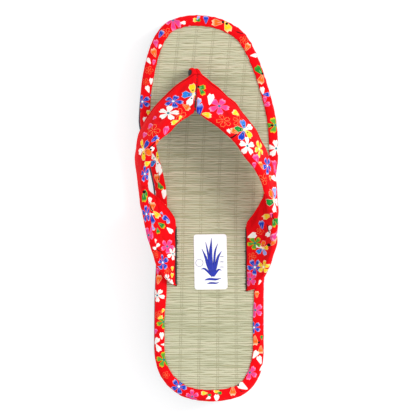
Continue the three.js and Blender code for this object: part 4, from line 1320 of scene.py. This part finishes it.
# Strokes as rows of x, y and half width: arching blades of rush from one root, and two short water lines
blades = [
    [(1.4, -9.5, 0.5), (0.6, -2, 0.8), (0.2, 6, 0.8), (0.9, 15.5, 0.12)],
    [(1.0, -9.5, 0.4), (-1.6, -3, 0.7), (-3.2, 3, 0.6), (-5.6, 8.6, 0.1)],
    [(1.8, -9.5, 0.4), (3.4, -3, 0.7), (5.0, 3, 0.6), (7.4, 7.0, 0.1)],
    [(1.2, -9.5, 0.35), (-0.8, 0, 0.55), (-1.8, 7, 0.45), (-3.0, 13, 0.1)],
    [(1.6, -9.5, 0.35), (2.4, 0, 0.55), (3.2, 7, 0.45), (5.0, 12, 0.1)],
    [(1.0, -9.8, 0.35), (-2.2, -6, 0.6), (-4.6, -4.4, 0.5), (-6.4, -4.8, 0.1)],
    [(1.8, -9.8, 0.35), (4.0, -6.4, 0.6), (5.6, -5.2, 0.5), (7.2, -5.8, 0.1)],
    [(-4.2, -12.0, 0.15), (-1, -11.3, 0.75), (3, -11.6, 0.7), (6.8, -10.9, 0.12)],
    [(-2.6, -14.4, 0.12), (0, -13.9, 0.6), (3, -14.1, 0.5), (5.4, -13.6, 0.1)],
]
label_print = add_piece("label_print", "label_film", *strokes(blades))


def ink_finish(name, ground):
    """Printing ink that soaks in unevenly: clouds of a darker and a lighter shade."""
    return clouded_finish(name, 0.45, (0.5, 3), darker(0.75, ground), ground, bump=0.01)


label_print.data.materials.append(ink_finish("blue_ink", colour(12, 40, 176)))
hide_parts("size_label")

# A plain ring left of the tuft and three short bars right of it
ring_x, ring_y, ring_radius, ring_half_width = -7.4, -0.6, 2.4, 0.14
ring = [(ring_x + ring_radius * np.cos(turn), ring_y + ring_radius * np.sin(turn), ring_half_width)
        for turn in np.linspace(0, 2 * np.pi, 40)]
bars = [[(6.2, y, 0.22), (7.4, y + 0.1, 0.28), (8.7, y, 0.22)] for y in (3.2, -0.2, -3.6)]
marks = add_piece("label_marks", "label_film", *strokes([ring, *bars]))
marks.data.materials.append(ink_finish("grey_ink", colour(150, 155, 190)))
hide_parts("size_label")

# Photographic table: a plain pale floor under a white surround, a soft box at the right and a weaker one
# at the heel's side, and the photograph's camera 2.4 m above the middle of the pair.
floor_size = 6.0
corners = [(x * floor_size / 2, y * floor_size / 2, 0) for x, y in [(-1, -1), (1, -1), (1, 1), (-1, 1)]]
floor_mesh = bpy.data.meshes.new("studio_floor")
floor_mesh.from_pydata(corners, [], [(0, 1, 2, 3)])
studio_floor = placed("studio_floor", floor_mesh)
floor_mesh.materials.append(finish("pale_floor", 0.9, Base_Color=(0.55, 0.555, 0.56),
                                   Emission_Color=(1, 1, 1), Emission_Strength=0.55)[0])

world = bpy.data.worlds.new("soft_surround")
world.use_nodes = True
world.node_tree.nodes["Background"].inputs["Color"].default_value = (1, 1, 1, 1)
world.node_tree.nodes["Background"].inputs["Strength"].default_value = 0.85
bpy.context.scene.world = world


def soft_light(name, place, aim, size, power):
    """Square soft box at a place in metres that faces its aim."""
    light = bpy.data.lights.new(name, "AREA")
    light.size = size
    light.energy = power
    lamp = placed(name, light)
    lamp.location = place
    lamp.rotation_euler = (Vector(aim) - Vector(place)).to_track_quat("-Z", "Y").to_euler()


sandal_middle = (0, 0, 0.02)
soft_light("key_box", (1.2, 0.5, 1.2), sandal_middle, 0.6, 16)
soft_light("fill_box", (-0.4, -0.8, 1.6), sandal_middle, 1.2, 4)

camera_data = bpy.data.cameras.new("photo_view")
camera = placed("photo_view", camera_data)
camera.location = (-0.0618, 0.0, 2.4)
camera_aim = Vector((0.0, 0.0, 0.028))
aside, above = camera_aim.x - camera.location.x, camera.location.z - camera_aim.z
camera.rotation_euler = (0, -np.arctan2(aside, above), 0)
picture_width = 0.2748
camera_data.sensor_fit = "HORIZONTAL"
camera_data.angle = 2 * np.arctan(picture_width / 2 / (camera_aim - camera.location).length)
camera_data.clip_end = 20
bpy.context.scene.camera = camera
bpy.context.scene.view_settings.view_transform = "Standard"
